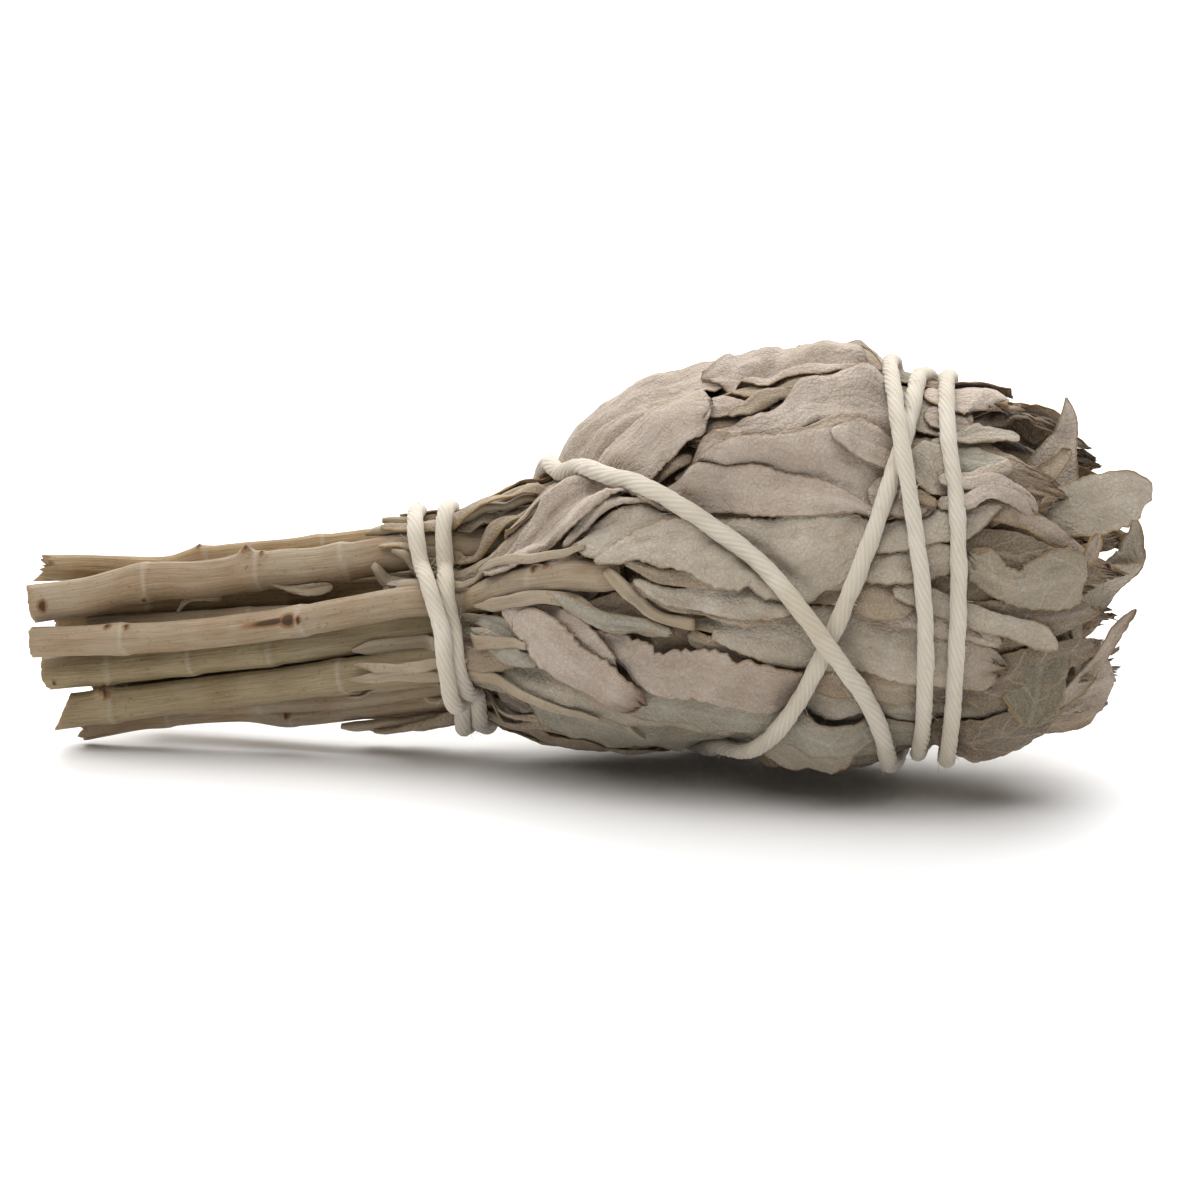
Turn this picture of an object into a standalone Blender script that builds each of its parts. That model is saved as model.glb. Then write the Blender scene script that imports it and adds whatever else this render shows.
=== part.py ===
"""A smudge stick: a small bundle of dried white sage, tied with one length of cotton twine.

The bundle lies along X on the plane Z = 0, with its cut stems at -X and its leaf tips at +X.
Places on it are given as (x, angle): x along the bundle in mm, and the angle around its centre
line in degrees, 0 facing -Y, 90 on top and -90 underneath. The pieces are laid from the inside
out, as they are bundled by hand. A height map holds how far the pieces laid so far rise above
the bed of outer leaves, and each new leaf, and then the twine, lies on top of it.
"""
import math

import bmesh
import bpy
import numpy as np

MM = 0.001

# Driving dimensions, in mm
GAP = 0.3  # air between neighbouring pieces
LEAF_THICKNESS = 0.45
PETIOLE_HALF_WIDTH = 0.8
LEAF_TIP_HALF_WIDTH = 0.4
TWINE_RADIUS = 1.0
TWINE_STEP = 5.1  # between the tube's rings
TWINE_CLEARANCE = 0.5  # more than GAP, because the straight runs between rings cut corners
FLAT_UNDERSIDE = 5.5  # height of the lowest inner leaves, pressed flat by the bundle's weight

# Where the bundle's own frame stands, in mm, so that the origin is under the middle of its box
BUNDLE_PLACE = (-0.6, 2.1, 0.0)

# The bundle's shape along X: (x, height of its centre line, radius of the bed of outer leaves)
BUNDLE = (
    (-57, 10.7, 7.5),
    (-36, 12.0, 7.5),
    (-18, 13.1, 8.0),
    (-8, 14.2, 9.0),
    (0, 17.6, 12.6),
    (8, 20.2, 15.0),
    (18, 21.0, 15.9),
    (30, 21.2, 16.2),
    (40, 21.0, 14.9),
    (50, 20.6, 12.4),
    (60, 20.5, 10.0),
)

# Stems: name, radius, and centre points (x, y, z). Each goes on between the leaves where
# "reaches" says, keeping its place in the bundle.
STEMS = (
    ("top_front", 1.85, 12, (
        (-55.4, -5.5, 15.5), (-49.8, -4.5, 16.2), (-43.6, -3.3, 17.7), (-37.2, -3.0, 18.2),
        (-32.0, -2.2, 19.1), (-24.7, -2.0, 20.0), (-15.6, -0.5, 21.0))),
    ("top_back", 1.35, 12, (
        (-56.0, 1.0, 17.6), (-50.7, 1.0, 17.9), (-43.0, 1.5, 17.9), (-38.6, 2.0, 18.8),
        (-29.0, 2.6, 19.6), (-17.4, 3.5, 20.9))),
    ("middle_recessed", 1.3, 14, (
        (-50.0, -1.2, 14.3), (-41.4, -0.5, 15.5), (-28.0, 0.6, 16.6), (-15.0, 0.3, 17.2))),
    ("front", 1.6, 0, (
        (-55.0, -7.3, 11.9), (-46.6, -6.9, 12.4), (-37.0, -7.0, 13.4), (-26.6, -7.1, 15.2),
        (-15.3, -7.4, 17.7), (-8.4, -8.8, 20.4), (-2.7, -11.9, 21.9), (0.8, -13.4, 22.9))),
    ("front_recessed", 1.5, 16, (
        (-54.0, -4.0, 7.7), (-46.3, -3.9, 8.8), (-37.8, -4.2, 10.2), (-28.8, -4.5, 11.7),
        (-16.9, -4.4, 13.9))),
    ("front_low", 1.6, 12, (
        (-52.2, -4.6, 4.1), (-46.0, -4.3, 5.1), (-37.6, -4.3, 6.5), (-27.2, -5.0, 8.4),
        (-16.6, -6.4, 10.6))),
    ("lowest", 1.3, 10, (
        (-51.2, -1.5, 1.3), (-44.0, -0.6, 3.0), (-35.4, 0.0, 3.9), (-28.6, 0.0, 3.8),
        (-15.0, -0.8, 6.2))),
    ("low_back", 1.2, 8, (
        (-46.0, 6.0, 4.4), (-38.0, 5.2, 3.8), (-29.0, 4.0, 3.4), (-15.3, 3.4, 4.6))),
    ("back_lower", 1.8, 15, (
        (-54.0, 3.2, 8.6), (-40.0, 4.0, 10.3), (-26.0, 4.2, 11.4), (-15.0, 4.2, 11.6))),
    ("back_upper", 1.7, 13, (
        (-53.0, 5.0, 13.0), (-40.0, 6.0, 14.3), (-26.0, 6.2, 15.9), (-15.0, 6.2, 16.4))),
    ("centre", 1.6, 18, (
        (-53.0, -0.5, 10.8), (-40.0, -0.4, 11.5), (-26.0, -0.4, 12.5), (-15.0, -0.2, 13.2))),
)

# Outer leaves, in the order in which they lie on each other: name, midrib from base to tip as
# (x, angle), half width in mm, share of the length that is leaf stalk, and how far the tip
# lifts off, in mm.
OUTER_LEAVES = (
    ("crest_back", ((-6, 112), (6, 98), (19, 97)), 4.5, 0.15, 0.0),
    ("low_band", ((14, -30), (27, -26), (37, -30), (48, -34)), 3.0, 0.10, 0.0),
    ("yellow_rib", ((-8, -15), (0, -29), (9, -45), (19, -56)), 2.8, 0.15, 0.0),
    ("blue_strip", ((-7, -6), (3, -22), (13, -36), (25, -42)), 1.8, 0.15, 0.0),
    ("under_pink", ((8, -24), (17, -31), (27, -38), (36, -44)), 2.2, 0.10, 0.0),
    ("mid_band", ((8, -2), (16, -5), (26, -8), (38, -12), (48, -18)), 3.2, 0.15, 0.0),
    ("lower_pink", ((3, 2), (10, -12), (17, -21), (27, -24)), 2.8, 0.15, 0.0),
    ("pink_tip", ((-8, 16), (-1, 1), (5, -15), (11, -28)), 2.2, 0.10, 0.0),
    ("shoulder_high", ((-5, 62), (4, 70), (12, 72), (20, 68)), 4.4, 0.05, 0.0),
    ("band_high", ((12, 54), (21, 57), (30.5, 59)), 3.0, 0.05, 0.0),
    ("mid_green", ((10, 42), (19, 43), (28, 40), (38, 33)), 3.6, 0.10, 0.0),
    ("under_pointed", ((27, 16), (36, 16), (45, 15)), 2.4, 0.10, 0.0),
    ("right_band", ((26, 12), (34, 4), (40, -2), (46, -9)), 2.6, 0.10, 0.0),
    ("dark_green", ((40, -40), (45, -28), (48, -14), (50, 2)), 3.2, 0.05, 1.0),
    ("broad_grey", ((4, 17), (13, 19), (23, 17), (34, 20)), 4.6, 0.05, 0.0),
    ("shoulder_low", ((-8, 28), (0, 41), (8, 50), (16, 60)), 3.8, 0.05, 0.0),
    ("crescent", ((7, 38), (16, 34), (25, 31), (33, 27)), 2.0, 0.05, 0.0),
    ("open_v", ((19, 22), (13, 24), (8, 24), (2, 26)), 2.4, 0.05, 0.0),
    ("pointed", ((28, 22), (36, 27), (44, 36)), 2.4, 0.05, 0.0),
    ("wide_right", ((36, 5), (44, 7), (52, 10)), 2.8, 0.05, 0.0),
    ("top_torn", ((38.5, 76), (42, 82), (46, 90)), 3.4, 0.05, 0.0),
    ("crown", ((10, 76), (19, 80), (28.5, 85)), 3.6, 0.05, 0.0),
    ("golden_rim", ((39, 44), (44, 31), (48, 24), (53, 16)), 2.6, 0.05, 1.0),
    ("flare", ((42, 30), (48, 42), (53, 52), (57, 60)), 3.2, 0.05, 4.0),
    ("spike", ((40, 62), (45, 74), (49, 88)), 2.0, 0.05, 5.0),
    ("fold_tip", ((44, -44), (50, -30), (54, -14), (57, 2)), 2.0, 0.05, 1.5),
)
RESTING_LEAF = ("underside", ((6, -96), (23, -91), (40, -88)), 4.6, 0.05)

# The twine, from its knot behind the neck: turns of (x, angle), each laid over the last.
TWINE_TURNS = (
    ((-15, -186), (-13, -168), (-8, -150), (0, -128), (8, -108), (13, -88), (16, -64), (19, -50),
     (24, -30), (27, -14), (31, 14), (33, 35), (34.3, 60), (34.2, 92), (35, 118), (37.6, 160),
     (38, 225)),
    ((38, -92), (38, -67), (39.5, -30), (40, 5), (39.5, 32), (38, 56), (36.7, 92), (36.2, 118),
     (34.6, 160), (35, 225)),
    ((35.4, -92), (35.4, -64), (36.8, -30), (37, 0), (35.5, 28), (33, 59), (31, 96), (31, 150),
     (32, 215)),
    ((32.8, -92), (32.8, -64), (32.5, -36), (29, -12), (22, 11), (16, 24), (9, 37), (5, 47),
     (0, 68), (-4, 92), (-8, 150), (-9, 215)),
    ((-8.4, -92), (-8.0, -50), (-8.8, -10), (-10.2, 18), (-12, 58), (-13.5, 96), (-14, 150),
     (-12.5, 215)),
    ((-11.4, -92), (-10.6, -40), (-11.2, 5), (-12.8, 30), (-14.8, 58), (-16.6, 96), (-17, 145),
     (-16, 172), (-13, 190)),
)


def smooth(points, count):
    """Read `count` evenly spaced places from the smooth curve through the given points."""
    points = np.asarray(points, float)
    padded = np.vstack([2 * points[0] - points[1], points, 2 * points[-1] - points[-2]])
    spans = len(points) - 1
    t = np.linspace(0, spans, spans * 24 + 1)
    i = np.minimum(t.astype(int), spans - 1)
    f = (t - i)[:, None]
    a, b, c, d = (padded[i + k] for k in range(4))
    curve = b + 0.5 * f * (c - a + f * (2 * a - 5 * b + 4 * c - d + f * (3 * (b - c) + d - a)))
    way = np.append(0, np.cumsum(np.linalg.norm(np.diff(curve, axis=0), axis=1)))
    even = np.linspace(0, way[-1], count)
    return np.column_stack([np.interp(even, way, column) for column in curve.T])


BUNDLE_CURVE = smooth(BUNDLE, 200)


def centre_height(x):
    return np.interp(x, BUNDLE_CURVE[:, 0], BUNDLE_CURVE[:, 1])


def bed_radius(x, angle):
    """The bed that the outer leaves lie on: round, and flat underneath."""
    radius = np.interp(x, BUNDLE_CURVE[:, 0], BUNDLE_CURVE[:, 2])
    down = np.maximum(-np.sin(np.radians(angle)), 0.3)
    flat = (centre_height(x) - FLAT_UNDERSIDE) / down
    return np.minimum(radius, flat)


def world(x, angle, radius):
    """The point at a place on the bundle, in metres."""
    a = np.radians(angle)
    y = -radius * np.cos(a)
    z = centre_height(x) + radius * np.sin(a)
    return np.stack([x + 0 * y, y, z], axis=-1) * MM


class HeightMap:
    """How far above the bed the pieces laid so far rise, at each place; negative inside it."""

    STEP_X = 0.5
    STEP_ANGLE = 2.0
    START_X = -62.0

    def __init__(self):
        self.rise = np.full((250, 180), -20.0)

    def cells(self, x, angle):
        i = np.rint((x - self.START_X) / self.STEP_X).astype(int)
        j = np.rint(angle / self.STEP_ANGLE).astype(int) % self.rise.shape[1]
        return np.clip(i, 1, self.rise.shape[0] - 2), j

    def fill(self, rise, from_x):
        """Raise everything to the right of from_x to one level."""
        first, _ = self.cells(from_x, 0)
        self.rise[first:] = np.maximum(self.rise[first:], rise)

    def lay(self, x, angle, rise, spread=1):
        """Raise the places that a new piece covers, and their neighbours."""
        i, j = self.cells(x, angle)
        for di in range(-spread, spread + 1):
            for dj in range(-spread, spread + 1):
                np.maximum.at(self.rise, (i + di, (j + dj) % self.rise.shape[1]), rise)

    def top(self, x, angle):
        return self.rise[self.cells(x, angle)]


def material(name, rgb, roughness):
    made = bpy.data.materials.new(name)
    made.use_nodes = True
    shader = made.node_tree.nodes["Principled BSDF"]
    shader.inputs["Base Color"].default_value = (*rgb, 1)
    shader.inputs["Roughness"].default_value = roughness
    shader.inputs["Metallic"].default_value = 0
    return made


def add_object(name, data, colour, bundle):
    piece = bpy.data.objects.new(name, data)
    piece.data.materials.append(colour)
    piece.parent = bundle
    bpy.context.scene.collection.objects.link(piece)
    return piece


def tube(name, points, radii, colour, bundle):
    """A solid rod along points in metres, with eight sides and closed ends."""
    curve = bpy.data.curves.new(name, "CURVE")
    curve.dimensions = "3D"
    curve.bevel_depth = 1.0
    curve.bevel_resolution = 2
    curve.use_fill_caps = True
    spline = curve.splines.new("POLY")
    spline.points.add(len(points) - 1)
    for spot, place, radius in zip(spline.points, points, radii):
        spot.co = (*place, 1)
        spot.radius = radius * MM
    return add_object(name, curve, colour, bundle)


def lay_stem(name, radius, reaches, points, height_map, colour, bundle):
    """A stem through its points, going on among the leaves at its place in the bundle."""
    points = list(points)
    x, y, z = points[-1]
    if reaches > x + 3:
        above = z - centre_height(x)
        for share in (0.5, 1.0):
            ahead = x + (reaches - x) * share
            spread = 1 + 0.12 * share
            points.append((ahead, y * spread, centre_height(ahead) + above * spread))
    rings = smooth(points, 9)
    tube(name, rings * MM, np.full(len(rings), radius), colour, bundle)
    x, y, z = smooth(points, 300).T
    for around in np.linspace(0, 2 * math.pi, 24):
        side_y = y + radius * math.cos(around)
        side_z = z - centre_height(x) + radius * math.sin(around)
        angle = np.degrees(np.arctan2(side_z, -side_y))
        height_map.lay(x, angle, np.hypot(side_y, side_z) - bed_radius(x, angle))


def leaf_half_width(s, half_width, stalk):
    """Half the width along a leaf: a narrow stalk, then a lance-shaped blade."""
    t = np.clip((s - stalk) / (1 - stalk), 0, 1)
    blade = half_width * np.sin(math.pi * t**0.8) ** 0.7
    least = np.where(t < 0.5, PETIOLE_HALF_WIDTH, LEAF_TIP_HALF_WIDTH)
    return np.maximum(blade, least)


def leaf_places(midrib, half_width, stalk, along, across, level):
    """A leaf's grid of (x, angle) places, wrapped on the bundle like a label on a bottle."""
    line = smooth(midrib, along + 1)
    s = np.linspace(0, 1, along + 1)
    radius = np.maximum(bed_radius(line[:, 0], 0 * line[:, 0]) + level, 3)
    unrolled = np.column_stack([line[:, 0], np.radians(line[:, 1]) * radius])
    heading = np.gradient(unrolled, axis=0)
    heading /= np.linalg.norm(heading, axis=1, keepdims=True)
    w = np.linspace(-1, 1, across + 1)
    side = leaf_half_width(s, half_width, stalk)[:, None] * w
    x = line[:, 0, None] - heading[:, 1, None] * side
    angle = line[:, 1, None] + np.degrees(heading[:, 0, None] * side / radius[:, None])
    return x, angle


def inside_cells(grid, samples=7):
    """Sample the inside of each cell of a grid of corner values: (cells, cells, samples)."""
    f = np.linspace(0, 1, samples)
    u, v = (part.ravel() for part in np.meshgrid(f, f))
    a, b, c, d = grid[:-1, :-1], grid[1:, :-1], grid[:-1, 1:], grid[1:, 1:]
    near = a[..., None] * (1 - u) + b[..., None] * u
    far = c[..., None] * (1 - u) + d[..., None] * u
    return near * (1 - v) + far * v


def corners_from_cells(cells):
    """The largest value of the cells that meet at each corner."""
    padded = np.pad(cells, 1, constant_values=-1e9)
    return np.max([padded[:-1, :-1], padded[1:, :-1], padded[:-1, 1:], padded[1:, 1:]], axis=0)


def cells_from_corners(corners):
    return np.max([corners[:-1, :-1], corners[1:, :-1], corners[:-1, 1:], corners[1:, 1:]], axis=0)


def shell_mesh(name, inner, outer):
    """A closed thin shell between two grids of points of the same size."""
    rows, columns = inner.shape[:2]
    shell = bmesh.new()
    sides = [[[shell.verts.new(p) for p in row] for row in grid] for grid in (inner, outer)]
    low, high = sides
    for i in range(rows - 1):
        for j in range(columns - 1):
            shell.faces.new((low[i][j], low[i][j + 1], low[i + 1][j + 1], low[i + 1][j]))
            shell.faces.new((high[i][j], high[i + 1][j], high[i + 1][j + 1], high[i][j + 1]))
    rim = [(i, 0) for i in range(rows)]
    rim += [(rows - 1, j) for j in range(1, columns)]
    rim += [(i, columns - 1) for i in range(rows - 2, -1, -1)]
    rim += [(0, j) for j in range(columns - 2, 0, -1)]
    for (i, j), (k, m) in zip(rim, rim[1:] + rim[:1]):
        shell.faces.new((low[i][j], low[k][m], high[k][m], high[i][j]))
    bmesh.ops.recalc_face_normals(shell, faces=shell.faces)
    mesh = bpy.data.meshes.new(name)
    shell.to_mesh(mesh)
    shell.free()
    mesh.shade_smooth()
    mesh.set_sharp_from_angle(angle=math.radians(50))
    return mesh


def lay_leaf(name, midrib, half_width, stalk, lift, height_map, colour, bundle,
             along=6, across=4, level=2.0, rests=False):
    """Lay one leaf on the pieces under it, bending over whatever it covers."""
    x, angle = leaf_places(midrib, half_width, stalk, along, across, level)
    inside_x = inside_cells(x)
    inside_angle = inside_cells(angle)
    under = corners_from_cells(height_map.top(inside_x, inside_angle).max(axis=-1))
    s = np.linspace(0, 1, along + 1)[:, None]
    inner = under + GAP + lift * s**2
    outer = inner + LEAF_THICKNESS
    rise = cells_from_corners(outer)[..., None] + 0 * inside_x
    height_map.lay(inside_x, inside_angle, rise)
    skins = [world(x, angle, bed_radius(x, angle) + rise) for rise in (inner, outer)]
    if rests:
        pressed = (np.abs(skins[1][..., 1]) < 5 * MM) & (x > 16) & (x < 30)
        for skin, height in zip(skins, (LEAF_THICKNESS * MM, 0)):
            skin[..., 2] = np.where(pressed, height, skin[..., 2])
    return add_object(name, shell_mesh(name, *skins), colour, bundle)


def taut(rise):
    """Bridge the hollows and round off the steps, as a pulled cord does."""
    reach = np.lib.stride_tricks.sliding_window_view(np.pad(rise, 28, mode="edge"), 29).max(axis=1)
    window = np.hanning(29)
    return np.convolve(reach, window / window.sum(), mode="valid")


def twine_route(height_map):
    """The twine's places, each stretch laid on everything that was there before it."""
    points = [(x, angle + 360 * n) for n, turn in enumerate(TWINE_TURNS) for x, angle in turn]
    x, angle = (smooth([(x, angle / 3) for x, angle in points], 2400) * (1, 3)).T
    sides = (-TWINE_RADIUS, 0, TWINE_RADIUS)
    stretch = 80
    under = np.full(len(x), -20.0)
    for first in range(0, len(x), stretch):
        now = slice(first, first + stretch)
        under[now] = np.max([height_map.top(x[now] + side, angle[now]) for side in sides], axis=0)
        before = slice(max(first - stretch, 0), first)
        rise = taut(under)[before] + TWINE_CLEARANCE + 2 * TWINE_RADIUS
        for side in sides:
            height_map.lay(x[before] + side, angle[before], rise, spread=0)
    return x, angle, bed_radius(x, angle) + taut(under) + TWINE_CLEARANCE + TWINE_RADIUS


def lay_twine(height_map, colour, bundle):
    path = world(*twine_route(height_map)) / MM
    way = np.append(0, np.cumsum(np.linalg.norm(np.diff(path, axis=0), axis=1)))
    rings = np.linspace(0, way[-1], round(way[-1] / TWINE_STEP))
    points = np.column_stack([np.interp(rings, way, column) for column in path.T])
    print(f"twine: {way[-1]:.0f} mm long, {len(points)} rings, lowest {points[:, 2].min() - 1:.2f}")
    return tube("twine", points * MM, np.full(len(points), TWINE_RADIUS), colour, bundle)


def main():
    for old in list(bpy.data.objects):
        bpy.data.objects.remove(old, do_unlink=True)
    bundle = bpy.data.objects.new("bundle", None)
    bundle.location = [MM * shift for shift in BUNDLE_PLACE]
    bpy.context.scene.collection.objects.link(bundle)
    bark = material("dried stem bark", (0.42, 0.33, 0.22), 0.8)
    leaf = material("dried sage leaf", (0.46, 0.42, 0.35), 0.9)
    cotton = material("cotton twine", (0.80, 0.75, 0.66), 0.9)

    height_map = HeightMap()
    for name, radius, reaches, points in STEMS:
        lay_stem(f"stem_{name}", radius, reaches, points, height_map, bark, bundle)

    height_map.fill(-9.5, 24)
    for k in range(3):
        midrib = ((25, 120 * k), (38, 120 * k + 5), (50 + k, 120 * k + 8))
        lay_leaf(f"leaf_inner_{k + 1}", midrib, 3.2, 0.1, 0, height_map, leaf, bundle, 5, 3, -9)
    height_map.fill(-5.5, 24)
    for k in range(5):
        midrib = ((25, 72 * k + 30), (38, 72 * k + 26), (52 - k % 2, 72 * k + 20))
        lay_leaf(f"leaf_ring_{k + 1}", midrib, 4.6, 0.1, 0, height_map, leaf, bundle, 5, 3, -5)

    height_map.fill(0, -6)
    for k in range(8):
        angle = 45 * (k % 4 * 2 + k // 4) - 93
        midrib = ((-13, angle + 6), (2, angle), (20, angle - 4), (38, angle), (50 - k % 3, angle + 4))
        lay_leaf(f"leaf_bed_{k + 1}", midrib, 7.6, 0.2, 0, height_map, leaf, bundle, 8, 3)

    for k in range(5):
        angle = 250 - 34 * k
        start = -4 + 9 * (k % 2)
        midrib = ((start, angle + 8), (start + 18, angle), (start + 38, angle - 5))
        lay_leaf(f"leaf_back_{k + 1}", midrib, 5.6, 0.1, 0, height_map, leaf, bundle, 6, 3)
    for name, midrib, half_width, stalk, lift in OUTER_LEAVES:
        lay_leaf(f"leaf_{name}", midrib, half_width, stalk, lift, height_map, leaf, bundle)
    name, midrib, half_width, stalk = RESTING_LEAF
    lay_leaf(f"leaf_{name}", midrib, half_width, stalk, 0, height_map, leaf, bundle, 8, rests=True)
    lay_twine(height_map, cotton, bundle)


main()
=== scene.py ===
# %% [markdown]
# # A smudge stick of dried white sage
# A smudge stick is a handful of white sage shoots, cut with their stems, bundled while the leaves
# are soft, tied round with one length of cotton twine and left to dry. Drying makes the leaves
# shrink, roll their margins under and stand off each other. The bundle could be sculpted as one
# lump with a leaf pattern, but then no leaf could cast a shadow into the gap below it. So this
# file lays it up as it is made by hand: stems, then leaf after leaf, then the twine over all.

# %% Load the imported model, which holds every size and place
import math

import bpy
import numpy as np
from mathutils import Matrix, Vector


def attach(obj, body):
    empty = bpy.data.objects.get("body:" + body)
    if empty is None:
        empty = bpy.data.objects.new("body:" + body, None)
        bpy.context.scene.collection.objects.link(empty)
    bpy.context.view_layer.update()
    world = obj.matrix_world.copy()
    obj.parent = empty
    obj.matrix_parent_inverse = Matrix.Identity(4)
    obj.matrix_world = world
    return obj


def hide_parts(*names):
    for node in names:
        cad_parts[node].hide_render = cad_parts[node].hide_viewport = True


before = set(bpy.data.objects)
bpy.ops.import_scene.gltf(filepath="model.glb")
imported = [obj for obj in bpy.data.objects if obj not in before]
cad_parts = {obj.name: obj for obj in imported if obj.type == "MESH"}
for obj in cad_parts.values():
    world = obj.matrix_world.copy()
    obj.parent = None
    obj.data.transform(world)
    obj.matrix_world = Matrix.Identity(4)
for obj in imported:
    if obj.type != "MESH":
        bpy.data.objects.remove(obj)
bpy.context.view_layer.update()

print("nodes in the packed model:", len(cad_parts))

# %% [markdown]
# The camera stands well back with a long lens, so the near stems don't look larger than the far
# leaves. It looks a little down on the bundle and from a little to the right of its side.

# %% The camera
VIEW_TURN = math.radians(10)
VIEW_LIFT = math.radians(13)
VIEW_DISTANCE = 0.450
VIEW_CENTRE = Vector((0.0018, 0.0021, 0.0169))

towards_camera = Vector((math.sin(VIEW_TURN) * math.cos(VIEW_LIFT),
                         -math.cos(VIEW_TURN) * math.cos(VIEW_LIFT),
                         math.sin(VIEW_LIFT)))
lens = bpy.data.cameras.new("long lens")
lens.lens = 135
lens.sensor_width = 36
lens.clip_start = 0.01
camera = bpy.data.objects.new("camera", lens)
camera.location = VIEW_CENTRE + towards_camera * VIEW_DISTANCE
camera.rotation_euler = towards_camera.to_track_quat("Z", "Y").to_euler()
bpy.context.scene.collection.objects.link(camera)
bpy.context.scene.camera = camera
print("camera", round(VIEW_DISTANCE * 1000), "mm from the middle of the bundle")

# %% [markdown]
# Three small helpers serve every finish below. A colour is written as it looks on a screen, in
# hex, and has to be made linear before light is reckoned with it. A node is added with its
# settings and its links in one call, so a finish reads as a list of layers. A finish starts as
# one plain shader with its settings.

# %% Helpers for colours and nodes
MM = 0.001


def linear(colour):
    """Each channel of the hex colour as a share of 1, raised by the sRGB curve, then alpha 1."""
    shares = [int(colour[k:k + 2], 16) / 255 for k in (1, 3, 5)]
    return (*[c / 12.92 if c < 0.04045 else ((c + 0.055) / 1.055) ** 2.4 for c in shares], 1)


def node(tree, kind, output=0, inputs=None, **settings):
    """Add a node, set its properties, fill its inputs and give one of its outputs.

    An input is filled by another node's output, by a hex colour or by plain numbers.
    """
    made = tree.nodes.new(kind)
    for name, value in settings.items():
        setattr(made, name, value)
    for socket, source in (inputs or {}).items():
        if isinstance(source, bpy.types.NodeSocket):
            tree.links.new(source, made.inputs[socket])
        elif isinstance(source, str):
            made.inputs[socket].default_value = linear(source)
        else:
            made.inputs[socket].default_value = source
    return made.outputs[output]


def new_finish(name, settings):
    """A material, its node tree and its principled shader, which gets these plain settings."""
    made = bpy.data.materials.new(name)
    made.use_nodes = True
    shader = made.node_tree.nodes["Principled BSDF"]
    for socket, value in settings.items():
        shader.inputs[socket].default_value = value
    return made, made.node_tree, shader


print("helpers ready; mid grey is", round(linear("#808080")[0], 3), "in linear light")

# %% [markdown]
# ## Floor and light
# The bundle lies on seamless white paper in a white room. A wide soft light hangs overhead, a
# little to the front, so that the sides of the leaves are lit and the floor under them is not.
# A weaker one behind, like a window, draws the soft shadow forward. The third hangs over the
# paper far behind, so that it goes to clean white.

# %% The paper floor and the lights
paper = new_finish("matt white paper", {"Base Color": linear("#f4f3f2"), "Roughness": 0.9,
                                        "Specular IOR Level": 0.2})[0]
floor_mesh = bpy.data.meshes.new("paper floor")
HALF_FLOOR = 4.0
floor_mesh.from_pydata([(-HALF_FLOOR, -HALF_FLOOR, 0), (HALF_FLOOR, -HALF_FLOOR, 0),
                        (HALF_FLOOR, HALF_FLOOR, 0), (-HALF_FLOOR, HALF_FLOOR, 0)],
                       [], [(0, 1, 2, 3)])
floor_mesh.materials.append(paper)
floor = bpy.data.objects.new("paper_floor", floor_mesh)
bpy.context.scene.collection.objects.link(floor)


def add_light(name, place, aim, size, watts):
    """A square area light that looks from its place to its aim."""
    data = bpy.data.lights.new(name, "AREA")
    data.shape = "SQUARE"
    data.size = size
    data.energy = watts
    made = bpy.data.objects.new(name, data)
    made.location = place
    made.rotation_euler = (Vector(place) - Vector(aim)).to_track_quat("Z", "Y").to_euler()
    bpy.context.scene.collection.objects.link(made)


add_light("overhead softbox", (-0.15, -0.14, 0.90), (0, 0, 0), 1.5, 16.5)
add_light("window behind", (-0.25, 0.85, 0.80), (0, 0, 0), 0.9, 5.0)
add_light("backdrop light", (0, 1.5, 1.0), (0, 1.5, 0), 1.6, 40.0)
room = bpy.data.worlds.new("white room")
room.use_nodes = True
room.node_tree.nodes["Background"].inputs[0].default_value = linear("#ffffff")
room.node_tree.nodes["Background"].inputs[1].default_value = 0.17
bpy.context.scene.world = room
bpy.context.scene.view_settings.view_transform = "Standard"
print("floor", 2 * HALF_FLOOR, "m wide; three soft lights in a white room")

# %% [markdown]
# ## Places on the bundle
# Everything on the bundle is placed by where it is along it and how far round it, like a label
# on a bottle: x in mm, and an angle that is 0 at the front, 90 on top and -90 underneath. The
# bottle is the bed that the outer leaves lie on, and a rise is a height above that bed.

# %% The shape of the bundle, in mm
BUNDLE_PLACE = np.array((-0.6, 2.1, 0.0))
BUNDLE = (  # x, height of the centre line, radius of the bed
    (-57, 10.7, 7.5), (-36, 12, 7.5), (-18, 13.1, 8), (-8, 14.2, 9), (0, 17.6, 12.6),
    (8, 20.2, 15), (18, 21, 15.9), (30, 21.2, 16.2), (40, 21, 14.9), (50, 20.6, 12.4),
    (60, 20.5, 10))
FLAT_UNDERSIDE = 5.0  # height of the lowest inner leaves, pressed flat by the weight above


def smooth(points, count):
    """Evenly spaced places on the Catmull-Rom curve through the points."""
    points = np.asarray(points, float)
    padded = np.vstack([2 * points[0] - points[1], points, 2 * points[-1] - points[-2]])
    spans = len(points) - 1
    t = np.linspace(0, spans, spans * 24 + 1)
    i = np.minimum(t.astype(int), spans - 1)
    f = (t - i)[:, None]
    a, b, c, d = (padded[i + k] for k in range(4))
    curve = b + 0.5 * f * (c - a + f * (2 * a - 5 * b + 4 * c - d + f * (3 * (b - c) + d - a)))
    way = np.append(0, np.cumsum(np.linalg.norm(np.diff(curve, axis=0), axis=1)))
    even = np.linspace(0, way[-1], count)
    return np.column_stack([np.interp(even, way, column) for column in curve.T])


BUNDLE_CURVE = smooth(BUNDLE, 200)


def centre_height(x):
    """The height of the bundle's centre line at x."""
    return np.interp(x, BUNDLE_CURVE[:, 0], BUNDLE_CURVE[:, 1])


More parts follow.
